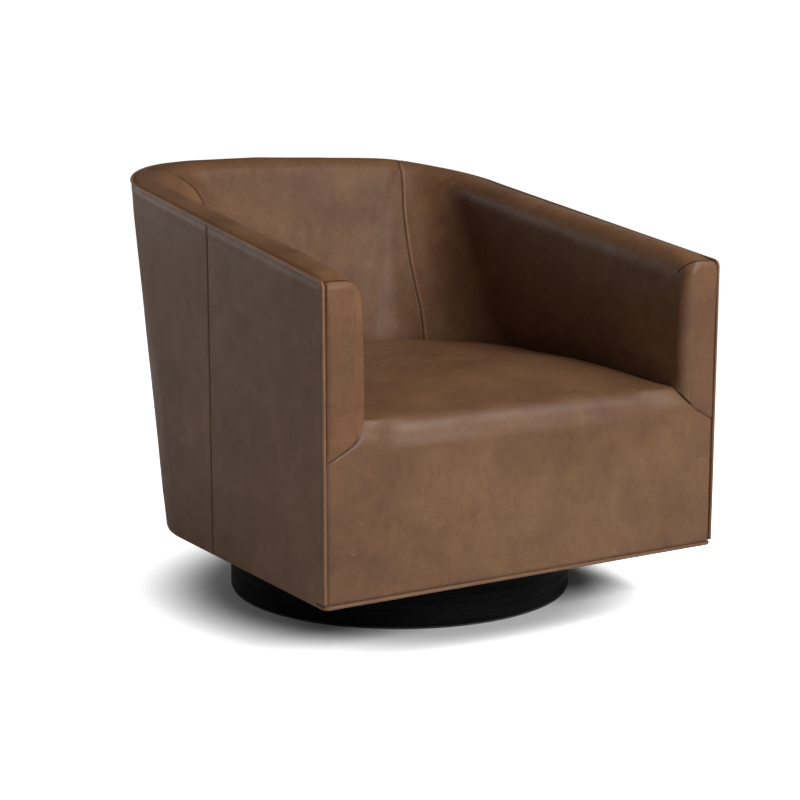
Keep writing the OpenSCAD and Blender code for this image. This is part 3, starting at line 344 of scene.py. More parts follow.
def swell(g, away, step=7.0, sunk=6.0, share=0.2, most=0.9):
    """How far air pressure moves a cover along its normals, by a cloth simulation of a coarse
    copy that is held along its edges and starts a little sunk. The mean of the whole piece
    stays where it was modelled, and only a share of the unevenness is kept, up to most
    millimetres, since the leather is stretched tight."""
    rows, cols = stations(g, 0), stations(g, 1)
    ri, ci = spaced(rows, step), spaced(cols, step)
    c = g[np.ix_(ri, ci)]
    n, m = c.shape[:2]
    out = normals(c, away)
    rim = rim_distance(c)
    soft = smooth(rim / 60)
    start = c - (sunk * soft)[..., None] * out
    faces = slab_faces(n, m)[:(n - 1) * (m - 1)]
    k = faces[0]
    p = start.reshape(-1, 3)
    if np.cross(p[k[1]] - p[k[0]], p[k[2]] - p[k[0]]) @ out[0, 0] < 0:
        faces = [f[::-1] for f in faces]
    me = bpy.data.meshes.new("cover_trial")
    me.from_pydata((p * MM).tolist(), [], faces)
    ob = linked("cover_trial", me)
    held = ob.vertex_groups.new(name="held")
    held.add(np.flatnonzero(rim.ravel() < 1e-6).tolist(), 1.0, "REPLACE")
    cloth_mod = ob.modifiers.new("cloth", "CLOTH")
    st = cloth_mod.settings
    st.vertex_group_mass = "held"
    st.quality, st.mass = 6, 0.3
    st.tension_stiffness, st.compression_stiffness = 25, 25
    st.shear_stiffness, st.bending_stiffness = 12, 2.0
    st.use_pressure, st.uniform_pressure_force = True, 4.0
    st.effector_weights.gravity = 0.0
    cloth_mod.point_cache.frame_start, cloth_mod.point_cache.frame_end = 1, SWELL_FRAMES
    for frame_no in range(1, SWELL_FRAMES + 1):
        scene.frame_set(frame_no)
    ev = ob.evaluated_get(bpy.context.evaluated_depsgraph_get())
    now = np.empty(n * m * 3)
    ev.data.vertices.foreach_get("co", now)
    now = now.reshape(n, m, 3) / MM
    bpy.data.objects.remove(ob)
    bpy.data.meshes.remove(me)
    scene.frame_set(1)
    move = ((now - c) * out).sum(-1)
    move = share * (move - soft * (move * soft).sum() / (soft * soft).sum())
    move = np.clip(move, -most, most) * smooth(rim / 14)
    return spread(rows, ri, 0.95 * step) @ move @ spread(cols, ci, 0.95 * step).T


# Materials
class Graph:
    """A material's nodes round one principled shader."""

    def __init__(self, name):
        self.mat = bpy.data.materials.new(name)
        self.mat.use_nodes = True
        self.tree = self.mat.node_tree
        self.tree.nodes.clear()
        out = self.tree.nodes.new("ShaderNodeOutputMaterial")
        self.shader = self.add("BsdfPrincipled")
        self.tree.links.new(self.shader.outputs[0], out.inputs["Surface"])
        self.coord = self.add("TexCoord").outputs["Object"]

    def add(self, kind, props=None, **inputs):
        """New node. Inputs go by their names, or by number as i0, i1 and so on."""
        node = self.tree.nodes.new("ShaderNode" + kind)
        for k, v in (props or {}).items():
            setattr(node, k, v)
        for k, v in inputs.items():
            by_number = k[0] == "i" and k[1:].isdigit()
            self.put(node.inputs[int(k[1:]) if by_number else k.replace("_", " ")], v)
        return node

    def put(self, socket, v):
        if isinstance(v, bpy.types.NodeSocket):
            self.tree.links.new(v, socket)
        else:
            socket.default_value = v

    def math(self, op, a, b=0.0, c=0.0, clamp=False):
        return self.add("Math", {"operation": op, "use_clamp": clamp}, i0=a, i1=b, i2=c).outputs[0]

    def plus(self, a, b, clamp=False):
        return self.math("ADD", a, b, clamp=clamp)

    def times(self, a, b):
        return self.math("MULTIPLY", a, b)

    def about(self, x, k):
        """How far x is from one half, times k."""
        return self.times(self.math("SUBTRACT", x, 0.5), k)

    def span(self, x, a, b, lo=0.0, hi=1.0):
        """Value that runs smoothly from lo to hi while x runs from a to b."""
        n = self.add("MapRange", {"interpolation_type": "SMOOTHSTEP"})
        for i, v in enumerate((x, a, b, lo, hi)):
            self.put(n.inputs[i], v)
        return n.outputs[0]

    def place(self, move=(0, 0, 0), scale=(1, 1, 1), turn=(0, 0, 0)):
        n = self.add("Mapping")
        for key, v in (("Location", move), ("Rotation", turn), ("Scale", scale)):
            n.inputs[key].default_value = v
        self.put(n.inputs["Vector"], self.coord)
        return n.outputs[0]

    def noise(self, at, scale, detail=3.0, rough=0.5, distort=0.0):
        return self.add("TexNoise", None, Vector=at, Scale=scale, Detail=detail,
                        Roughness=rough, Distortion=distort).outputs[0]

    def cells(self, at, scale, feature="F1"):
        return self.add("TexVoronoi", {"feature": feature}, Vector=at, Scale=scale).outputs["Distance"]

    def mix(self, f, a, b, kind="MIX"):
        n = self.add("Mix", {"data_type": "RGBA", "blend_type": kind, "clamp_factor": True})
        for i, v in ((0, f), (6, a), (7, b)):
            self.put(n.inputs[i], v)
        return n.outputs[2]

    def ramp(self, f, *stops):
        n = self.add("ValToRGB", None, Fac=f)
        n.color_ramp.interpolation = "EASE"
        while len(n.color_ramp.elements) < len(stops):
            n.color_ramp.elements.new(0.5)
        for el, (at, colour) in zip(n.color_ramp.elements, stops):
            el.position, el.color = at, colour
        return n.outputs[0]

    def bump(self, height, distance, strength=1.0, normal=None):
        n = self.add("Bump", None, Height=height, Distance=distance, Strength=strength)
        if normal is not None:
            self.put(n.inputs["Normal"], normal)
        return n.outputs[0]

    def finish(self, colour, rough, normal=None, gloss=0.5, **more):
        """The material, once its shader's inputs are set."""
        inputs = {"Base Color": colour, "Roughness": rough, "Specular IOR Level": gloss, **more}
        if normal is not None:
            inputs["Normal"] = normal
        for k, v in inputs.items():
            self.put(self.shader.inputs[k], v)
        return self.mat


def rgb(colour, k=1.0):
    """Colour times k, with its opacity."""
    return (*(k * c for c in colour), 1.0)


def leather(name, seed, tan=(0.190, 0.101, 0.047), russet=(0.115, 0.048, 0.028), shade=1.0,
            rough=0.36, gloss=0.24, scratches=0.3, contrast=2.5):
    """Waxed full grain leather: clouds and flecks of tan and russet, fine grain and thin
    curved scratches. The mesh's attribute darkens it as painted shade in seams, grooves and
    tucks, and lightens it as painted highlight on ridges and on the outside of the piping.
    shade scales the colour of this whole copy: painted shade below 1, painted light above."""
    g = Graph("leather_" + name)
    off = (seed * 3.7 % 11, seed * 5.3 % 13, seed * 2.9 % 7)
    at = g.place(off)
    cloud = g.noise(at, 6.0, 3.0, 0.5, 0.4)
    blotch = g.noise(g.place((off[1], off[2], off[0])), 21.0, 4.0, 0.6, 1.0)
    at_streak = g.place((off[2], off[0], off[1]), (70, 95, 38), (0.5, 0.3, 0.2))
    streak = g.noise(at_streak, 1.0, 3.0, 0.6, 1.4)
    fine = g.noise(at, 240.0, 3.0, 0.6, 0.3)
    painted_shading = g.add("Attribute", {"attribute_name": "painted_shading"}).outputs["Fac"]
    f = g.plus(g.times(cloud, 0.36), g.times(blotch, 0.36))
    f = g.plus(f, g.times(streak, 0.28))
    f = g.plus(g.about(f, contrast), 0.5, clamp=True)
    colour = g.mix(f, rgb(russet, shade), rgb(tan, shade))
    slow = g.noise(g.place((3.1, off[0], off[2])), 9.0, 3.0)
    value = g.plus(g.about(slow, 0.7), g.about(fine, 0.28))
    # the mesh's attribute darkens and lightens the value here: painted shade and painted highlight
    value = g.plus(1.0, g.plus(value, g.times(painted_shading, 0.75)))
    value = g.math("MAXIMUM", value, 0.12)
    grey = g.add("CombineColor", None, Red=value, Green=value, Blue=value).outputs[0]
    colour = g.mix(1.0, colour, grey, "MULTIPLY")
    # Light flecks, and thin curved scratches where two slow noises cross their middle value
    fleck = g.noise(g.place((off[0], 7.0, off[1]), (110, 60, 85), (0.2, 0.6, 0.1)), 1.0, 2.0, 0.5, 0.8)
    fleck = g.times(g.span(fleck, 0.66, 0.78), 0.3)
    colour = g.mix(fleck, colour, rgb(tan, 1.45 * shade))
    marks = []
    for scale, shift in ((13.0, 4.0), (27.0, 9.0)):
        slow = g.noise(g.place((shift, off[0], 1.0)), scale, 1.5, 0.4, 1.8)
        line = g.math("ABSOLUTE", g.math("SUBTRACT", slow, 0.5))
        few = g.span(g.noise(g.place((off[0], shift, 3.0)), scale * 1.7, 2.0), 0.57, 0.66)
        marks.append(g.times(g.span(line, 0.0, 0.004, 1.0, 0.0), few))
    mark = g.math("MAXIMUM", *marks)
    colour = g.mix(g.times(mark, scratches), colour, rgb((0.27, 0.165, 0.10)))
    pore = g.cells(at, 820.0, "DISTANCE_TO_EDGE")
    pebble = g.cells(g.place((off[1], 1.0, off[0])), 330.0, "F1")
    grain = g.plus(g.span(pore, 0.0, 0.12), g.times(pebble, -0.8))
    colour = g.mix(g.span(pore, 0.0, 0.08, 0.14, 0.0), colour, rgb((0.03, 0.012, 0.007)))
    normal = g.bump(grain, 0.00008, 0.5)
    normal = g.bump(g.noise(at, 95.0, 3.0, 0.55, 0.4), 0.00025, 0.22, normal)
    normal = g.bump(g.noise(at, 30.0, 2.0, 0.5, 0.6), 0.0010, 0.10, normal)
    worn = g.span(blotch, 0.3, 0.7, rough + 0.04, rough - 0.04)
    worn = g.plus(worn, g.about(fine, 0.12), clamp=True)
    worn = g.math("MAXIMUM", worn, g.span(painted_shading, -0.9, -0.15, 0.8, 0.0))
    return g.finish(colour, worn, normal, gloss)


def wood(name, dark, light, rough=0.5, grain=0.0003, along=(7, 7, 210), gloss=0.4):
    """Wood with grain that runs along one way and open pores."""
    g = Graph("wood_" + name)
    at = g.place((1.3, 0.4, 2.1), along)
    streak = g.noise(at, 1.0, 6.0, 0.62, 0.3)
    pores = g.noise(g.place((5.1, 2.2, 0.7), tuple(3.1 * a for a in along)), 1.0, 3.0, 0.7)
    colour = g.ramp(streak, (0.32, rgb(dark)), (0.68, rgb(light)))
    dots = g.span(pores, 0.56, 0.66)
    colour = g.mix(g.times(dots, 0.5), colour, rgb(dark, 0.4))
    normal = g.bump(g.math("SUBTRACT", streak, g.times(dots, 0.6)), grain, 0.6)
    return g.finish(colour, g.span(streak, 0.3, 0.7, rough + 0.08, rough - 0.06), normal, gloss)


# The camera stands where the photograph was taken from
cam_data = bpy.data.cameras.new("camera")
cam_data.lens, cam_data.sensor_width = 73.5, 36.0
cam_data.clip_start, cam_data.clip_end = 0.05, 60.0
camera = linked("camera", cam_data)
camera.matrix_world = Matrix((
    (0.85103, 0.08587, -0.51805, -1.5144),
    (-0.52512, 0.13916, -0.83958, -2.4552),
    (0.0, 0.98654, 0.16353, 0.8091),
    (0, 0, 0, 1),
))
scene.camera = camera


# Arms: one leather goes from the flat front round its soft edge, over the top and down inside
TOP_S = join([0, 0.02, 0.045, 0.08, 0.13, 0.2], np.linspace(0.3, 1, 8))
ROLL_S = np.linspace(1, 2, 15)[1:]
WALL_S = np.linspace(2, 3, 46)[1:]
TUCK_S = np.linspace(3, 4, 8)[1:]
S_ALL = join(TOP_S, ROLL_S, WALL_S, TUCK_S)
# Columns of S_ALL: the first tucked in, the first to be smoothed, and those that the stuffing moves
TUCK_AT, SOFT_AT = len(S_ALL) - len(TUCK_S), len(TOP_S) + 8
FREE = slice(len(TOP_S) + 2, TUCK_AT)
TURN_END = math.degrees(math.acos((SEAM_X - INNER - THIN_LOW - EDGE_R) / SEAM_R))
# Height of the lower edge of the rounded inner edge, by degrees round it from the front plane
FEET = ((0, 15, 30, 45, 60, 75, 90), (355.5, 360.5, 365.5, 370.0, 373.5, 373.0, 362.0))


def seam_arc(t, r):
    """Place on the arc seam between an arm front and the seat's ear, t degrees round it."""
    t = np.radians(t)
    return SEAM_X - r * np.cos(t), SEAM_Z - r * np.sin(t)


def seam_out_z(x, r):
    """Height at x of the straight seam that goes on from the arc outwards."""
    ax, az = seam_arc(SEAM_TURN, r)
    return az - (x - ax) * math.tan(math.radians(90 - SEAM_TURN))


def face_rim(s):
    """The flat front's outer edge: down beside the piping, then inwards along the seam."""
    r = SEAM_R - 0.15
    last = np.searchsorted(s, 2.0)
    corner = last - 5
    k = np.arange(len(s))
    # j runs to 8 down beside the piping, to 9 along the straight seam and to 14 round the arc
    on_arc = 9 + 5 * (k - last) / (len(s) - 1 - last)
    j = np.where(k <= corner, 8 * k / corner, np.where(k <= last, 8 + (k - corner) / 5, on_arc))
    z0, z1 = ARM_Z - ARM_R - PIPE_IN - 4, seam_out_z(FACE_X, r)
    ax, az = seam_arc(SEAM_TURN, r)
    down = np.clip(j / 8, 0, 1)
    f = np.clip(j - 8, 0, 1)
    t = lerp(TURN_END, SEAM_TURN, np.clip((14 - j) / 5, 0, 1))
    bx, bz = seam_arc(t, r)
    x = np.where(j <= 9, lerp(FACE_X, ax, f), bx)
    z = np.where(j <= 8, lerp(z0, z1, down), np.where(j <= 9, lerp(z1, az, f), bz))
    return points(x, FRONT_Y, z)


# Rows of an arm's grid round its soft front edge, and before them across its flat front
N_PHI, N_FACE = 26, 13


def arm_grid(side):
    """The right arm's leather, with the back seam of the given side."""
    s = S_ALL
    rim = face_rim(s)
    stop = FRONT_Y + edge_r(s)
    inner = padding(3.0, s, stop, 0.0)
    tuck = s > 3
    inner[tuck, 2] = lerp(JOIN_Z, FEET[1][0], s[tuck] - 3)
    rows = [lerp(rim, inner, t) for t in (0, 0.02, 0.05, 0.1, *np.linspace(0.18, 0.9, 9))]
    for phi in np.linspace(0, 90, N_PHI + 1)[:-1]:
        p = padding(3.0, s, stop, phi)
        p[tuck, 2] = lerp(JOIN_Z, np.interp(phi, *FEET), s[tuck] - 3)
        rows.append(p)
    near = 3 - join(np.linspace(0, 0.02, 12)[:-1], np.linspace(0.02, 0.12, 14)[:-1])
    for u in join(near, 3 - np.linspace(0.12, 1, 110)):
        rows.append(padding(u, s, stop))
        foot = lerp(FEET[1][-1], TUCK_Z, smooth((3 - u) / 0.08))
        rows[-1][tuck, 2] = lerp(JOIN_Z, foot, s[tuck] - 3)
    ends = seam_u(s, side)
    arc = join(np.linspace(0, 0.8, 26)[1:], 0.8 + 0.2 * np.linspace(0, 1, 22)[1:] ** 0.8)
    rows += [padding(lerp(2.0, ends + 0.0012, t), s, stop) for t in arc]
    return soften(np.stack(rows), SOFT_AT, TUCK_AT, 6)


def dart(g, s):
    """Depth of the dart seam across the top of an arm front, by distance behind the front plane."""
    line = FRONT_Y + 8.5 + 16 * smooth((s - 1.15) / 0.8)
    reach = smooth((1.98 - s) / 0.3)
    return bell(g[..., 1] - line, 1.1) * reach


def build_arm(side, name, node, mat):
    """Make one arm's leather, and give its grid as it is on the right before stuffing."""
    g = arm_grid(side)
    s = S_ALL[None, :]
    right = side > 0
    to_seam = edge_distance(g, 0, True)
    to_pipe = edge_distance(g, 1, False)
    on_top = np.arange(g.shape[0])[:, None] >= N_FACE
    behind = g[..., 1] - FRONT_Y
    rim_d = np.full(g.shape[:2], 999.0)
    rim_d[:N_FACE + 1] = edge_distance(g[:N_FACE + 1], 0, False)
    amount = 0.55 * waves(g, 11 + side) * smooth(to_seam / 40)
    amount *= np.where(on_top, smooth(to_pipe / 40), 0.4)
    amount *= smooth((3 - s) / 0.12)
    inside = slice(N_FACE + N_PHI, None)
    amount[inside, FREE] += swell(g[inside, FREE], (-1, 0, 0))
    # seam at the back: a fine groove, and on the right arm a raised line of stitching beside it
    seam = bell(to_seam, 1.5)
    ridge = bell(to_seam - 5.0, 1.1) * right
    amount -= (0.7 if right else 1.1) * seam
    amount += 0.35 * ridge
    amount -= np.where(on_top, 0.6 * bell(to_pipe, 5), 0)
    # the flat front is a little full, and goes in where it is sewn
    end = smooth(rim_d[N_FACE] / 34)[None, :]
    full = np.where(on_top, smooth(1 - behind / edge_r(s)) * end, smooth(rim_d / 34))
    amount += 2.6 * full * np.where(s > 3, lerp(1.0, 0.25, s - 3), 1.0)
    amount -= 1.9 * bell(rim_d, 3.5) * np.where(s > 3, lerp(1.0, 0.3, s - 3), 1.0)
    cut = dart(g, s) * on_top
    amount -= 0.8 * cut
    # painted shade in the back seam, in the dart, along the sewn rim of the flat front, beside the
    # piping and on the part tucked under the seat, and a painted highlight on the right arm's raised
    # stitching line
    painted_shading = -(0.5 if right else 0.9) * seam - 2.0 * cut - 0.6 * bell(rim_d, 2.2)
    painted_shading += 0.9 * ridge
    painted_shading -= np.where(on_top, 0.6 * bell(to_pipe, 2.0), 0)
    painted_shading -= 0.5 * np.where(on_top, smooth(s - 3) * smooth((g[..., 1] + 380) / 30), 0)
    leather_piece(name, g * (side, 1, 1), amount, node, mat, painted_shading, (-side, 0, 0))
    return g


# the right arm's copy of the leather is darker as a whole (shade 0.93): painted shade
right_base = build_arm(1, "right_arm_cover", "arm_leather_right", leather("arms", 2, shade=0.93))
left_base = build_arm(-1, "left_arm_cover", "arm_leather_left", leather("left_arm", 5, gloss=0.12))


# Inside back between the two seams
def back_grid():
    s = S_ALL
    a, b = seam_u(s, 1) - 0.0012, -(seam_u(s, -1) - 0.0012)
    near = np.linspace(0, 1, 20) ** 1.3 * 0.035
    t = join(near, np.linspace(0.035, 0.965, 190)[1:-1], 1 - near[::-1])
    g = np.stack([padding(lerp(a, b, k), s, FRONT_Y) for k in t])
    return soften(g, SOFT_AT, TUCK_AT, 6)


BACK_AWAY = (0, -1, 0)
g = back_grid()
d0, d1 = both_ends(g, 0)
seam = 0.6 * bell(d0, 1.5) + bell(d1, 1.5)
pipe = edge_distance(g, 1, False)
amount = 0.7 * waves(g, 31) * smooth(np.minimum(d0, d1) / 40) * smooth(pipe / 40)
amount *= smooth((3 - S_ALL) / 0.12)[None, :]
amount[:, FREE] += swell(g[:, FREE], BACK_AWAY)
amount -= 1.1 * seam + 0.6 * bell(pipe, 5)
# painted shade in the two seams, beside the piping and on the part tucked below the seat; the back's
# copy of the leather is darker as a whole (shade 0.86), also painted shade
painted_shading = -0.9 * seam - 0.5 * bell(pipe, 2.0) + np.where(S_ALL[None, :] > 3, -0.5, 0)
leather_piece("back_cover", g, amount, "inside_back_leather",
              leather("back", 8, shade=0.86, gloss=0.11), painted_shading, BACK_AWAY)


# Seat: from the hem of the front panel, with an ear under each arm front, over the roll to the
# back. Start, depth and height of its elliptic roll in the middle, and the angle where it ends
ROLL_Z, ROLL_DEPTH, ROLL_H, ROLL_END = 327.0, 62.0, 57.0, math.radians(73)
ROLL_TOP = ROLL_Z + ROLL_H * math.sin(ROLL_END)
# Start, depth and height of the tighter roll beside the arms
SIDE_Z, SIDE_DEPTH, SIDE_H = 334.0, 40.0, 53.0
SEAT_AWAY = (0, -1, 1)


def tight_roll(z):
    """How far the seat's front has gone back at height z beside the arms, where its roll is tighter."""
    up = np.clip(z - SIDE_Z, 0, SIDE_H - 1) / SIDE_H
    return SIDE_DEPTH * (1 - np.sqrt(1 - up ** 2))


def seat_profile():
    """Half width, place and height up the front panel and its roll, to the seat's top."""
    r = SEAM_R + 0.15
    ax, az = seam_arc(SEAM_TURN, r)
    z1 = seam_out_z(FACE_X, r)
    panel = join(HEM_Z + np.array([0, 1.0, 2.2, 4, 7]), np.linspace(HEM_Z + 11, ROLL_Z, 54))
    angle = np.linspace(0, ROLL_END, 42)[1:]
    z = join(panel, ROLL_Z + ROLL_H * np.sin(angle))
    back = join(0 * panel, ROLL_DEPTH * (1 - np.cos(angle)))
    ear = SEAM_X - np.sqrt(r * r - np.clip(SEAM_Z - z, 0, r) ** 2)
    x = np.where(z < az, lerp(FACE_X, ax, np.clip((z - z1) / (az - z1), 0, 1)), ear)
    x = lerp(x, INNER + THIN_LOW - 0.9, smooth((tight_roll(z) - 8) / 10))
    return points(x, FRONT_Y + back, z)


def seat_grid():
    """The seat's leather from its left to its right edge, and the columns of its front."""
    c = np.sin(np.linspace(-1, 1, 170) * math.pi / 2) * 0.35 + np.linspace(-1, 1, 170) * 0.65
    prof = seat_profile()
    # beside the arms, where it meets their fronts, the roll starts higher and is tighter
    tight = FRONT_Y + tight_roll(prof[:, 2])
    share = smooth((np.abs(c) - 0.72) / 0.22)
    front = np.stack([points(k * prof[:, 0], lerp(prof[:, 1], tight, w), prof[:, 2])
                      for k, w in zip(c, share)])
    # the seat's back edge lies just inside the inside outline
    us = np.linspace(-2, 2, 1601)
    end_y = np.interp(c * INNER, edge(us, INSIDE)[0], edge(us, INSIDE, 0.4)[1])
    f = np.linspace(0, 1, 86)[1:]
    f = 0.3 * f + 0.7 * smooth(f)
    start = front[:, -1:, 1]
    y = lerp(start, end_y[:, None], f[None, :])
    level = SEAT_Z - SEAT_CROWN
    fall = (np.maximum(0, start + SEAT_FALL_L - y) / SEAT_FALL_L) ** 2
    base = level - (level - ROLL_TOP) * fall
    cc = np.abs(c)[:, None]
    lift = SEAT_CROWN * (1 - cc ** 2.5) * (1 - np.abs(2 * f - 1) ** 3)[None, :]
    near = np.minimum((1 - cc) * INNER, end_y[:, None] - y)
    dip = 6.0 * np.maximum(0, 1 - near / 25) ** 2 * np.minimum(1, 8 * f)[None, :]
    x = c[:, None] * (INNER - 0.3 + THIN_LOW * thinning(y))
    return np.concatenate([front, points(x, y, base + lift - dip)], 1), len(prof)


g, n_front = seat_grid()
g = soften(g, n_front - 36, n_front + 12, 14)
seat_base = g
d0, d1 = both_ends(g, 0)
side_d = np.minimum(d0, d1)
hem, back_d = both_ends(g, 1)
amount = 0.9 * waves(g, 51, 60, 220) * smooth(side_d / 60) * smooth(hem / 60) * smooth(back_d / 60)
amount += swell(g, SEAT_AWAY)
amount -= 1.6 * bell(hem, 3.5)
# the seat goes in along the arc seams, on the left deeper towards the seam's upper end
index = np.arange(g.shape[1])[None, :]
on_left = np.where(g[..., 0] < 0, 1.0, 0.0)
sewn = smooth((n_front - lerp(30, 12, on_left) - index) / 14)
deep = smooth((index - n_front + 41) / 24) * on_left
wide = 1 + 1.4 * deep
amount -= lerp(1.7, 2.6, deep) * bell(side_d, 3.5 * wide) * sewn
# painted shade along the hem, along the back edge, along the sides and, darker and wider on the left,
# along the arc seams under the arm fronts; the seat's copy of the leather is a little darker as a whole
# (shade 0.96), also painted shade
painted_shading = -0.5 * bell(hem, 2.2) - 0.6 * bell(back_d, 5)
painted_shading = painted_shading - lerp(0.4, 0.7 * wide, sewn) * bell(side_d, 2.2 * wide)
leather_piece("seat_cover", g, amount, "seat_leather",
              leather("seat", 3, shade=0.96), painted_shading, SEAT_AWAY)


def box_of(node):
    """Lowest and highest corner of a CAD node, in millimetres."""
    return (np.array(v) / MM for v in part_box(node))


# Padding and lining under the leather
def soft_piece(name, front, back, node, away, mat=None):
    """Closed soft piece between two grids, of foam unless mat says otherwise; the CAD node it
    replaces is hidden."""
    ob = slab(name, front, back, mat or FOAM, None, away)
    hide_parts(node)


def under(u, s, stop, off=FOAM_OFF):
    """Back of the foam: over the top rail, down its inner face and along the lining."""
    u, s = np.broadcast_arrays(np.asarray(u, float), np.asarray(s, float))
    top = edge_z(edge(u, TOP, 0, stop)[1])
    over = shell(u, top - TOP_PAD - (ROLL_R - TOP_PAD) * np.clip(s - 1, 0, 1),
                 lerp(FRAME_D, FOAM_D, np.clip(s, 0, 1)), stop)
    high = shell(u, top - ROLL_R, WALL - off, stop)
    lx, ly = edge(u, INSIDE, -off, stop)
    low = points(lx, ly, JOIN_Z)
    wall = lerp(high, low, np.clip(s - 2, 0, 1)[..., None])
    wall[..., 2] -= np.clip(s - 3, 0, 1) * (JOIN_Z - TUCK_Z)
    return np.where((s < 2)[..., None], over, wall)


FOAM_S = join(np.linspace(0.25, 1, 8), np.linspace(1, 2, 8)[1:], np.linspace(2, 3, 18)[1:], [3.5, 4])
UNDER_LEATHER = -5.0


def foam_skin(rows, away):
    """Outside of the foam: smoothed from the roll to the seat, and moved in from the leather."""
    return push(soften(np.stack(rows), 10, 32, 2), UNDER_LEATHER, away)


def foam(colour=(0.74, 0.62, 0.42)):
    """Padding foam, with fine cells."""
    g = Graph("foam")
    at = g.place()
    cell = g.cells(at, 1100.0)
    shade = g.noise(at, 6.0, 3.0)
    base = g.ramp(shade, (0.3, rgb(colour)), (0.7, rgb(colour, 1.16)))
    base = g.mix(g.span(cell, 0.2, 0.6, 0.35, 0.0), base, rgb(colour, 0.55))
    return g.finish(base, g.span(shade, 0.2, 0.8, 0.85, 0.98), g.bump(cell, 0.0004, 0.6))


def cloth(name, colour, pitch, rough=0.9, depth=0.0003):
    """Woven cloth: two sets of threads at right angles."""
    g = Graph("cloth_" + name)
    at = g.place()
    warp, weft, rise = (
        g.add("TexWave", {"bands_direction": way}, Vector=at, Scale=pitch, Distortion=0.4,
              Detail=1.0).outputs["Fac"] for way in "XYZ")
    weave = g.math("MAXIMUM", g.times(warp, weft), g.times(warp, rise))
    shade = g.noise(at, 14.0, 3.0)
    base = g.ramp(g.plus(g.times(weave, 0.6), g.times(shade, 0.4)),
                  (0.15, rgb(colour, 0.55)), (0.8, rgb(colour)))
    return g.finish(base, g.span(shade, 0.2, 0.8, rough - 0.06, rough), g.bump(weave, depth, 0.7))


FOAM, LINING = foam(), cloth("lining", (0.52, 0.45, 0.33), 420.0)
BLACK_CLOTH = cloth("black", (0.020, 0.020, 0.022), 500.0)
WEBBING = cloth("webbing", (0.11, 0.095, 0.075), 260.0, 0.85, 0.0005)
FELT = cloth("felt", (0.27, 0.25, 0.22), 900.0, 0.95, 0.0002)
# Where the arm rails start, the back of the front wadding, and the two faces of lining and straps
RAIL_Y, WADDING_Y = -377.3, -392.9
LINING_OFF, STRAP_OFF = (47.7, 48.9), (46.5, 47.7)

for side, name in ((1, "right"), (-1, "left")):
    ends = seam_u(FOAM_S, side) + 0.006
    us = [3 + 0 * FOAM_S, *[k + 0 * FOAM_S for k in np.linspace(2.96, 2, 40)],
          *[lerp(2.0, ends, t) for t in np.linspace(0, 1, 22)[1:]]]
    m = np.array([side, 1, 1.0])
    skin = foam_skin([padding(u, FOAM_S, RAIL_Y) for u in us], (-1, 0, 0))
    base = np.stack([under(u, FOAM_S, RAIL_Y) for u in us])
    inwards = (-side, 0, 0)
    soft_piece(name + "_arm_pad", skin * m, base * m, "arm_foam_" + name, inwards)
    # The pad of the arm front, and the strip of wadding round its inner edge
    g = (right_base if side > 0 else left_base) * m
    face = g[:N_FACE:2, ::3]
    flat = push(face, UNDER_LEATHER, (0, -1, 0))
    flat[..., 1] = np.maximum(flat[..., 1], FRONT_Y + 4.2)
    rear = flat.copy()
    rear[..., 1] = WADDING_Y
    soft_piece(name + "_front_wadding", flat, rear, "arm_front_pads", (0, -1, 0))
    k0, k1 = np.searchsorted(S_ALL, 2.1), np.searchsorted(S_ALL, 2.98)
    strip = g[N_FACE:N_FACE + N_PHI + 26:2, k0:k1:3]
    strip = strip[strip[:, 0, 1] > -401.0]
    near = push(strip, UNDER_LEATHER, inwards)
    far = push(strip, UNDER_LEATHER - 5.0, inwards)
    soft_piece(name + "_edge_wadding", near, far, "arm_front_pads", inwards)
    # Lining stretched behind the foam
    ls = join(np.linspace(2.1, 3, 12), [4.0])
    ends = seam_u(ls, side) + 0.002
    us = [3 + 0 * ls, *[k + 0 * ls for k in np.linspace(2.9, 2, 14)],
          *[lerp(2.0, ends, t) for t in np.linspace(0, 1, 12)[1:]]]
    a, b = (np.stack([under(u, ls, RAIL_Y, off) for u in us]) * m for off in LINING_OFF)
    soft_piece(name + "_lining", a, b, "arm_liners", inwards, mat=LINING)

t = np.linspace(0, 1, 70)
a, b = seam_u(FOAM_S, 1) - 0.006, -(seam_u(FOAM_S, -1) - 0.006)
skin = foam_skin([padding(lerp(a, b, k), FOAM_S, FRONT_Y) for k in t], BACK_AWAY)
base = np.stack([under(lerp(a, b, k), FOAM_S, FRONT_Y, FOAM_OFF - 2.4) for k in t])
soft_piece("back_pad", skin, base, "back_foam", BACK_AWAY)

# Seat foam, the pad of the front panel and the felt over the springs
g = seat_base[::3, n_front - 25:][:, ::2]
top = push(g, UNDER_LEATHER, SEAT_AWAY)
top[..., 0] = np.clip(top[..., 0], -INNER + 2.6, INNER - 2.6)
low = top.copy()
low[..., 2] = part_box("seat_foam")[0][2] / MM
soft_piece("seat_pad", top, low, "seat_foam", (0, 0, 1))

lo, hi = box_of("front_panel_pad")
x, z = np.meshgrid(np.linspace(lo[0], hi[0], 60), np.linspace(lo[2], hi[2], 24), indexing="ij")
rim = np.minimum(np.minimum(x - lo[0], hi[0] - x), np.minimum(z - lo[2], hi[2] - z))
front = points(x, lo[1] + 0.6 + 2.4 * np.exp(-rim / 6), z)
soft_piece("front_pad", front, points(x, hi[1], z), "front_panel_pad", (0, -1, 0))

lo, hi = box_of("seat_deck_pad")
us = both_sides(join(np.linspace(2, 1, 16), np.linspace(1, 0, 16)[1:]))
gx, ey = (v[:, None] for v in edge(us, INSIDE, 2.0))
gy = lerp(lo[1], ey, np.linspace(0, 1, 50)[None, :])
gz = hi[2] - 0.5 * np.cos(gy * np.pi / 15.0) ** 2
soft_piece("deck_felt", points(gx, gy, gz), points(gx, gy, lo[2]), "seat_deck_pad", (0, 0, 1),
           mat=FELT)


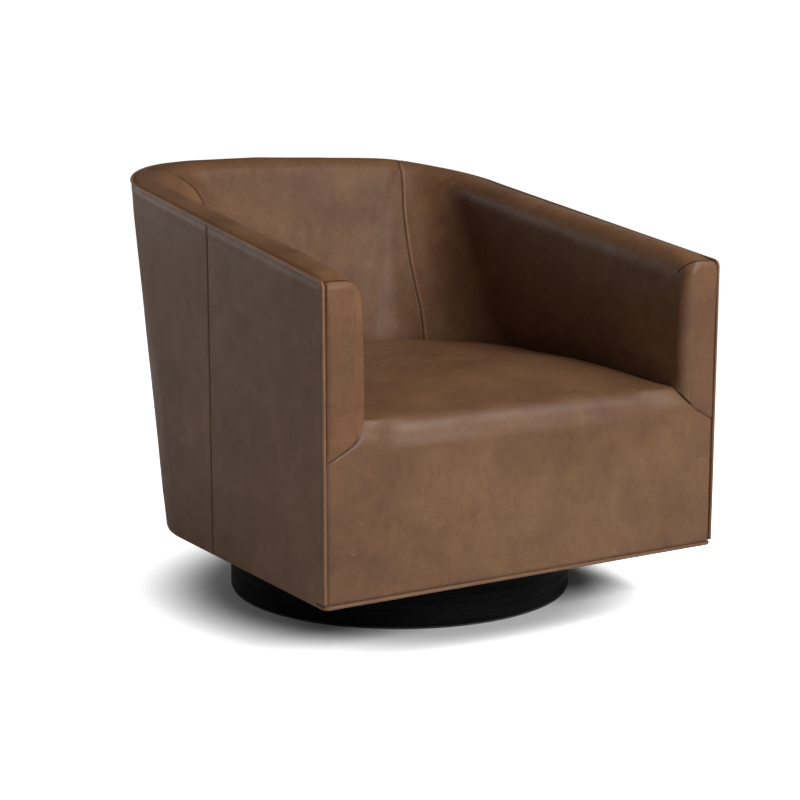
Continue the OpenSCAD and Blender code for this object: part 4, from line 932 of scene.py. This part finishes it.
# Webbing: four upright straps and three level ones, which follow the hollow of the back
def on_back(x, f, off):
    """Point of the inside surface, moved back by off, at each x."""
    v = np.linspace(0, 2, 400)
    p = lerp(shell(v, edge_z(edge(v, TOP)[1]) - ROLL_R, WALL - off),
             points(*edge(v, INSIDE, -off), JOIN_Z), f)
    return points(x, *(np.interp(np.abs(x), p[:, 0], p[:, k]) for k in (1, 2)))


STRAP, STRAP_GAP = 50.0, 100.0
BACK_FACE_H = edge_z(edge(0.0, TOP)[1]) - ROLL_R - JOIN_Z
STRAP_STEP = 90.0 / BACK_FACE_H
straps = [(k * STRAP_GAP + np.linspace(-STRAP / 2, STRAP / 2, 9), np.linspace(0.02, 1.0, 30))
          for k in (-1.5, -0.5, 0.5, 1.5)]
level = np.linspace(0, STRAP / BACK_FACE_H, 9)
straps += [(np.linspace(-185, 185, 60), 0.12 + k * STRAP_STEP + level) for k in range(3)]
pts, faces, n0 = [], [], 0
for xs, fs in straps:
    pts += [on_back(xs, f, off) for off in STRAP_OFF for f in fs]
    faces += [[v + n0 for v in f] for f in slab_faces(len(fs), len(xs))]
    n0 += 2 * len(fs) * len(xs)
back_straps = new_object("back_straps", np.concatenate(pts), faces, WEBBING)
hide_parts("back_webbing")

# Black cloth under the frame, which sags a little between the rails
u = join([3.0], np.linspace(2.9, 2, 10), np.linspace(2, 1, 20)[1:], np.linspace(1, 0, 14)[1:])
u = both_sides(u)
rim_x, rim_y = edge(u, BOTTOM, 12.0, FRONT_Y + 12.0)
f = join(np.linspace(1, 0.16, 40), [0.1])
gx, gy = rim_x[:, None] * f[None, :], rim_y[:, None] * f[None, :]
lo, hi = box_of("dust_cover")
ring = np.maximum(np.abs(gx), np.abs(gy))
sag = 2.2 * smooth((ring - 172) / 60) * smooth((1 - f)[None, :] / 0.16)
g = points(gx, gy, lo[2] + 0.1 - sag)
g = join(g, g[:1])
dust = slab("dust_cloth", g, g + np.array([0, 0, 0.5]), BLACK_CLOTH, None, (0, 0, -1))
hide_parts("dust_cover")


# Outside panels: distances of their first lines from a seam, and parts of their height
NEAR_SEAM = np.array([0, 0.6, 1.4, 2.4, 3.8, 6, 9])
RISE = join([0, 0.002, 0.005, 0.01, 0.018], np.linspace(0.03, 0.97, 90),
            [0.982, 0.99, 0.995, 0.998, 1])


def low_z(y):
    """Lower edge of the outside leather: it clears the bottom piping at the front corners."""
    return lerp(HEM_Z, BODY_Z, smooth((y - (FRONT_Y + 26)) / 6))


def outside_grid():
    """From the seam on the right side forward to the piping."""
    y = join(SIDE_SEAM - 0.3 - NEAR_SEAM,
             np.linspace(SIDE_SEAM - 14, FRONT_Y + 40, 70),
             np.linspace(FRONT_Y + 37, FRONT_Y + 14, 12),
             FRONT_Y + np.array([12, 10.5, 9, 7.8, 6.8, 6, 5.4, 5.0, 4.8]))
    r = BEND_R - PIPE_R - 0.3
    top = np.where(y > ARM_START - r * math.sin(SLOPE), edge_z(y) - EDGE_DROP,
                   BEND_Z + np.sqrt(np.maximum(0, r * r - (ARM_START - y) ** 2)))
    z = lerp(low_z(y)[:, None], top[:, None], RISE[None, :])
    return points(HALF_W, y[:, None], z)


def outside_back_grid():
    """From the seam on the right side round the back to that on the left."""
    stop = SIDE_SEAM + 0.3
    straight = 3 - NEAR_SEAM / (BOTTOM[1] - stop)
    u = join(straight, np.linspace(3 - 13 / 139, 2, 40), np.linspace(2, 1, 90)[1:],
             np.linspace(1, 0, 60)[1:])
    u = both_sides(u)
    top = edge_z(edge(u, TOP, 0, stop)[1]) - EDGE_DROP
    z = lerp(BODY_Z, top[:, None], RISE[None, :])
    return shell(u[:, None], z, 0.0, stop)


def outside_piece(name, g, node, mat, away, seams, seed):
    """Leather of an outside panel. seams says whether its first and last row lie at a seam."""
    low, top = both_ends(g, 1)
    e0, e1 = both_ends(g, 0)
    inner = rim_distance(g)
    amount = 0.5 * waves(g, seed, 60, 260) * smooth(inner / 60) + 0.9 * smooth(inner / 70)
    amount -= 1.2 * bell(low, 2.2) + 1.8 * bell(top, 3.6)
    amount += 0.9 * bell(top - 8.5, 3.2)
    # painted shade under the top piping, along the low edge and at the seams and edges, and a painted
    # highlight on the rounded band 8 mm below the top
    painted_shading = -0.5 * bell(top, 2.2) - 0.25 * bell(low, 2.0)
    painted_shading += 0.25 * bell(top - 8, 3.5)
    for e, seam in ((e0, seams[0]), (e1, seams[1])):
        amount -= (1.1 if seam else 0.9) * bell(e, 1.8 if seam else 3.0)
        painted_shading -= (0.9 if seam else 0.5) * bell(e, 1.6)
    leather_piece(name, g, amount, node, mat, painted_shading, away)


# the outside panels' copies of the leather are lighter as a whole (shade 1.08): painted light
OUT = dict(shade=1.08, rough=0.4, scratches=0.15, contrast=1.5)
g = outside_grid()
outside_piece("right_outside_cover", g, "outside_arm_leather_right",
              leather("outside_right", 4, **OUT), (1, 0, 0), (True, False), 71)
outside_piece("left_outside_cover", g * MIRROR, "outside_arm_leather_left",
              leather("outside_left", 6, **OUT), (-1, 0, 0), (True, False), 72)
outside_piece("back_outside_cover", outside_back_grid(), "outside_back_leather",
              leather("outside_back", 9, **OUT), (0, 1, 0), (True, True), 73)


# Piping: leather wrapped round a cord
def tube(name, path, out, r, sides, mat, node):
    """Tube of radius r along a path, painted lighter on the side that faces out as a painted highlight.
    """
    t = np.gradient(path, axis=0)
    t /= np.linalg.norm(t, axis=1, keepdims=True)
    b = np.cross(t, out)
    b /= np.linalg.norm(b, axis=1, keepdims=True)
    c = np.cross(b, t)
    a = np.arange(sides) * 2 * np.pi / sides
    length = join([0], np.cumsum(np.linalg.norm(np.diff(path, axis=0), axis=1)))
    rr = r * (1 + 0.025 * np.sin(length / 2.1) * np.sin(length / 37.0))
    around = np.cos(a)[None, :, None] * c[:, None] + np.sin(a)[None, :, None] * b[:, None]
    ring = path[:, None] + rr[:, None, None] * around
    n = len(path)
    pairs = [(i * sides + k, i * sides + (k + 1) % sides) for i in range(n - 1) for k in range(sides)]
    faces = [(p, q, q + sides, p + sides) for p, q in pairs]
    faces.append(tuple(range(sides - 1, -1, -1)))
    faces.append(tuple((n - 1) * sides + k for k in range(sides)))
    # painted highlight along the outside, and painted shade where it goes in between the panels
    painted_shading = np.broadcast_to((0.55 * np.cos(a) - 0.05)[None, :], ring.shape[:2])
    ob = new_object(name, ring.reshape(-1, 3), faces, mat, painted_shading)
    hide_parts(node)


def mirrored(path, out):
    """Path and outward ways of the right half, carried on over the left one."""
    return tuple(join(v, v[::-1][1:] * MIRROR) for v in (path, out))


# Outline piping: up the front edge, round its bend, and along the top to the middle of the back
x_pipe = HALF_W - PIPE_IN
up = np.linspace(BODY_Z + 2 + PIPE_IN + 2 * PIPE_R + 0.3, BEND_Z, 90)
path = [points(x_pipe, FRONT_Y + PIPE_IN, up)]
a = np.radians(np.linspace(180, 90 + SLOPE_DEG, 12)[1:])
path.append(points(x_pipe, ARM_START + BEND_R * np.cos(a), BEND_Z + BEND_R * np.sin(a)))
u = join(np.linspace(3, 2, 120)[4:], np.linspace(2, 1, 90)[1:], np.linspace(1, 0, 60)[1:])
zt = edge_z(edge(u, TOP)[1]) - PIPE_IN
path.append(shell(u, zt, PIPE_IN))
out = [np.tile([1.0, 0, 0], (90 + 11, 1)), -inward(u)]
path, out = mirrored(np.concatenate(path), np.concatenate(out))
PIPING = leather("piping", 1, tan=(0.25, 0.135, 0.07), russet=(0.15, 0.07, 0.036), rough=0.42,
                 scratches=0.0)
tube("outline_welt", path, out, PIPE_R, 14, PIPING, "outline_piping")

# Bottom piping: from each side round the front corner and under the front panel
r = 8.0
x, y, z = HALF_W - PIPE_IN - r, FRONT_Y + PIPE_IN + r, BODY_Z + 2 + PIPE_IN
a = np.radians(np.linspace(0, 90, 14))
p1 = points(x + r, np.linspace(FRONT_Y + 25, y, 8)[:-1], z)
p2 = points(x + r * np.cos(a), y - r * np.sin(a), z)
p3 = points(np.linspace(x, 0, 120)[1:], y - r, z)
o = [np.tile([1.0, 0, 0], (7, 1)), points(np.cos(a), -np.sin(a), 0), np.tile([0, -1.0, 0], (119, 1))]
path, out = mirrored(join(p1, p2, p3), np.concatenate(o))
# the bottom welt's copy of the piping leather is darker than the outline welt's (shade 0.82): painted
# shade
LOW_PIPING = leather("bottom_piping", 1, shade=0.82, rough=0.42, scratches=0.0)
tube("bottom_welt", path, out, PIPE_R, 14, LOW_PIPING, "bottom_piping")


# CAD nodes that keep their shapes get their own finishes
def dress(mat, *nodes):
    """Give the named CAD nodes one material."""
    for n in nodes:
        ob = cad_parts[n]
        ob = bpy.data.objects[ob] if isinstance(ob, str) else ob
        ob.data.materials.clear()
        ob.data.materials.append(mat)


PINE = wood("pine", (0.36, 0.21, 0.09), (0.60, 0.41, 0.21), along=(9, 9, 60), grain=0.0004)
PLY = wood("plywood", (0.42, 0.28, 0.14), (0.60, 0.44, 0.25), along=(11, 11, 500), grain=0.0003)
BEECH = wood("beech", (0.42, 0.25, 0.13), (0.58, 0.40, 0.24), along=(14, 90, 90), grain=0.0002)
BOARD = wood("fibre_board", (0.20, 0.13, 0.07), (0.29, 0.20, 0.12), along=(160, 160, 160),
             grain=0.0002, rough=0.8)
dress(BEECH, "swivel_bearers", "seat_stub_legs", "front_posts", "rear_posts", "back_stiles")
dress(PINE, "front_bottom_rail", "side_bottom_rails", "corner_bottom_rails", "back_bottom_rail",
      "corner_blocks", "front_seat_rail", "side_seat_rails", "corner_seat_rails", "back_seat_rail",
      "arm_rails", "corner_top_rails", "back_top_rail", "glue_blocks", "plinth_brace_long",
      "plinth_brace_cross")
dress(PLY, "plinth_top", "front_panel_board", "arm_face_boards")
dress(BOARD, "side_boards", "back_board")
dress(cloth("dark_felt", (0.045, 0.043, 0.040), 900.0, 0.95, 0.0002), "floor_ring")


def metal(name, colour, rough, brush=0.0):
    """Bare or plated steel, with fine scratches and small stains."""
    g = Graph("metal_" + name)
    lines = g.noise(g.place((0, 0, 0), (400, 30, 400)), 1.0, 3.0, 0.6)
    stain = g.noise(g.place(), 25.0, 4.0, 0.6)
    base = g.ramp(stain, (0.3, rgb(colour, 0.8)), (0.7, rgb(colour)))
    return g.finish(base, g.span(stain, 0.2, 0.8, rough + 0.1, rough - 0.05),
                    g.bump(lines, 0.00005, brush), Metallic=1.0)


def coat(name, dark, light, rough, depth, scale, detail_rough=0.5, gloss=0.5):
    """Paint or plastic with slightly uneven colour and sheen."""
    g = Graph(name)
    n = g.noise(g.place(), scale, 3.0, detail_rough)
    return g.finish(g.ramp(n, (0.3, rgb(dark)), (0.7, rgb(light))), g.span(n, 0.2, 0.8, *rough),
                    g.bump(n, depth, 0.4), gloss)


dress(coat("black_paint", (0.040, 0.040, 0.044), (0.055, 0.055, 0.060), (0.42, 0.3), 0.00012,
           140.0, 0.6, 0.45), "swivel_base_plate", "swivel_top_plate")
dress(metal("rivet", (0.50, 0.50, 0.51), 0.35, 0.5), "swivel_pivot")
dress(metal("zinc", (0.62, 0.60, 0.55), 0.3, 0.2), "base_plate_bolts", "top_plate_screws",
      "spring_clips")
dress(metal("ball", (0.60, 0.60, 0.62), 0.12), "bearing_balls")
dress(metal("spring", (0.26, 0.25, 0.25), 0.4), "seat_springs")
dress(coat("cage_plastic", (0.50, 0.37, 0.14), (0.60, 0.46, 0.19), (0.5, 0.38), 0.0001, 60.0),
      "ball_cage")
dress(wood("black", (0.0012, 0.0012, 0.0013), (0.0045, 0.0042, 0.0044), rough=0.55, gloss=0.06),
      "plinth_ring")


# Floor, white in the distance, and lights
g = Graph("floor")
away = g.add("VectorMath", {"operation": "LENGTH"}, i0=g.coord).outputs["Value"]
seen = g.add("LightPath").outputs["Is Camera Ray"]
FLOOR = 14.0
me = bpy.data.meshes.new("floor")
me.from_pydata([(x * FLOOR, y * FLOOR, 0) for x, y in ((-1, -1), (1, -1), (1, 1), (-1, 1))], [],
               [(0, 1, 2, 3)])
glow = {"Emission Color": rgb((1, 1, 1)), "Emission Strength": g.times(seen, g.span(away, 0.32, 0.51))}
me.materials.append(g.finish(rgb((0.9, 0.9, 0.9)), 0.9, **glow))
floor = linked("floor", me)

world = bpy.data.worlds.new("studio")
world.use_nodes = True
nodes, links = world.node_tree.nodes, world.node_tree.links
nodes.clear()
out_w = nodes.new("ShaderNodeOutputWorld")
bg_light, bg_seen = nodes.new("ShaderNodeBackground"), nodes.new("ShaderNodeBackground")
height = nodes.new("ShaderNodeSeparateXYZ")
links.new(nodes.new("ShaderNodeTexCoord").outputs["Generated"], height.inputs[0])
band = nodes.new("ShaderNodeMapRange")
band.interpolation_type = "SMOOTHSTEP"
for k, v in enumerate((0.15, 0.5, 0.27, 0.03)):
    band.inputs[k + 1].default_value = v
links.new(height.outputs[2], band.inputs[0])
links.new(band.outputs[0], bg_light.inputs[1])
bg_seen.inputs[0].default_value = (1, 1, 1, 1)
bg_seen.inputs[1].default_value = 1.05
mix = nodes.new("ShaderNodeMixShader")
path_node = nodes.new("ShaderNodeLightPath")
links.new(path_node.outputs["Is Camera Ray"], mix.inputs[0])
links.new(bg_light.outputs[0], mix.inputs[1])
links.new(bg_seen.outputs[0], mix.inputs[2])
links.new(mix.outputs[0], out_w.inputs[0])
scene.world = world


def area(name, at, to, size, power):
    """Rectangular light at one place that shines towards another."""
    li = bpy.data.lights.new(name, "AREA")
    li.shape, li.size, li.size_y, li.energy = "RECTANGLE", size[0], size[1], power
    at, to = np.array(at, float), np.array(to, float)
    back = at - to
    back /= np.linalg.norm(back)
    right = np.cross((0, 0, 1), back)
    right /= np.linalg.norm(right)
    linked(name, li).matrix_world = Matrix((*zip(right, np.cross(back, right), back, at), (0, 0, 0, 1)))


area("key", (1.0, -4.6, 2.9), (0, 0, 0.4), (2.2, 1.4), 208)
area("top", (1.3, -1.1, 3.0), (0, 0, 0.4), (1.8, 1.4), 52)
area("back", (-2.1, 3.5, 1.8), (0, 0, 0.5), (3.2, 2.4), 34)
scene.view_settings.view_transform = "Standard"
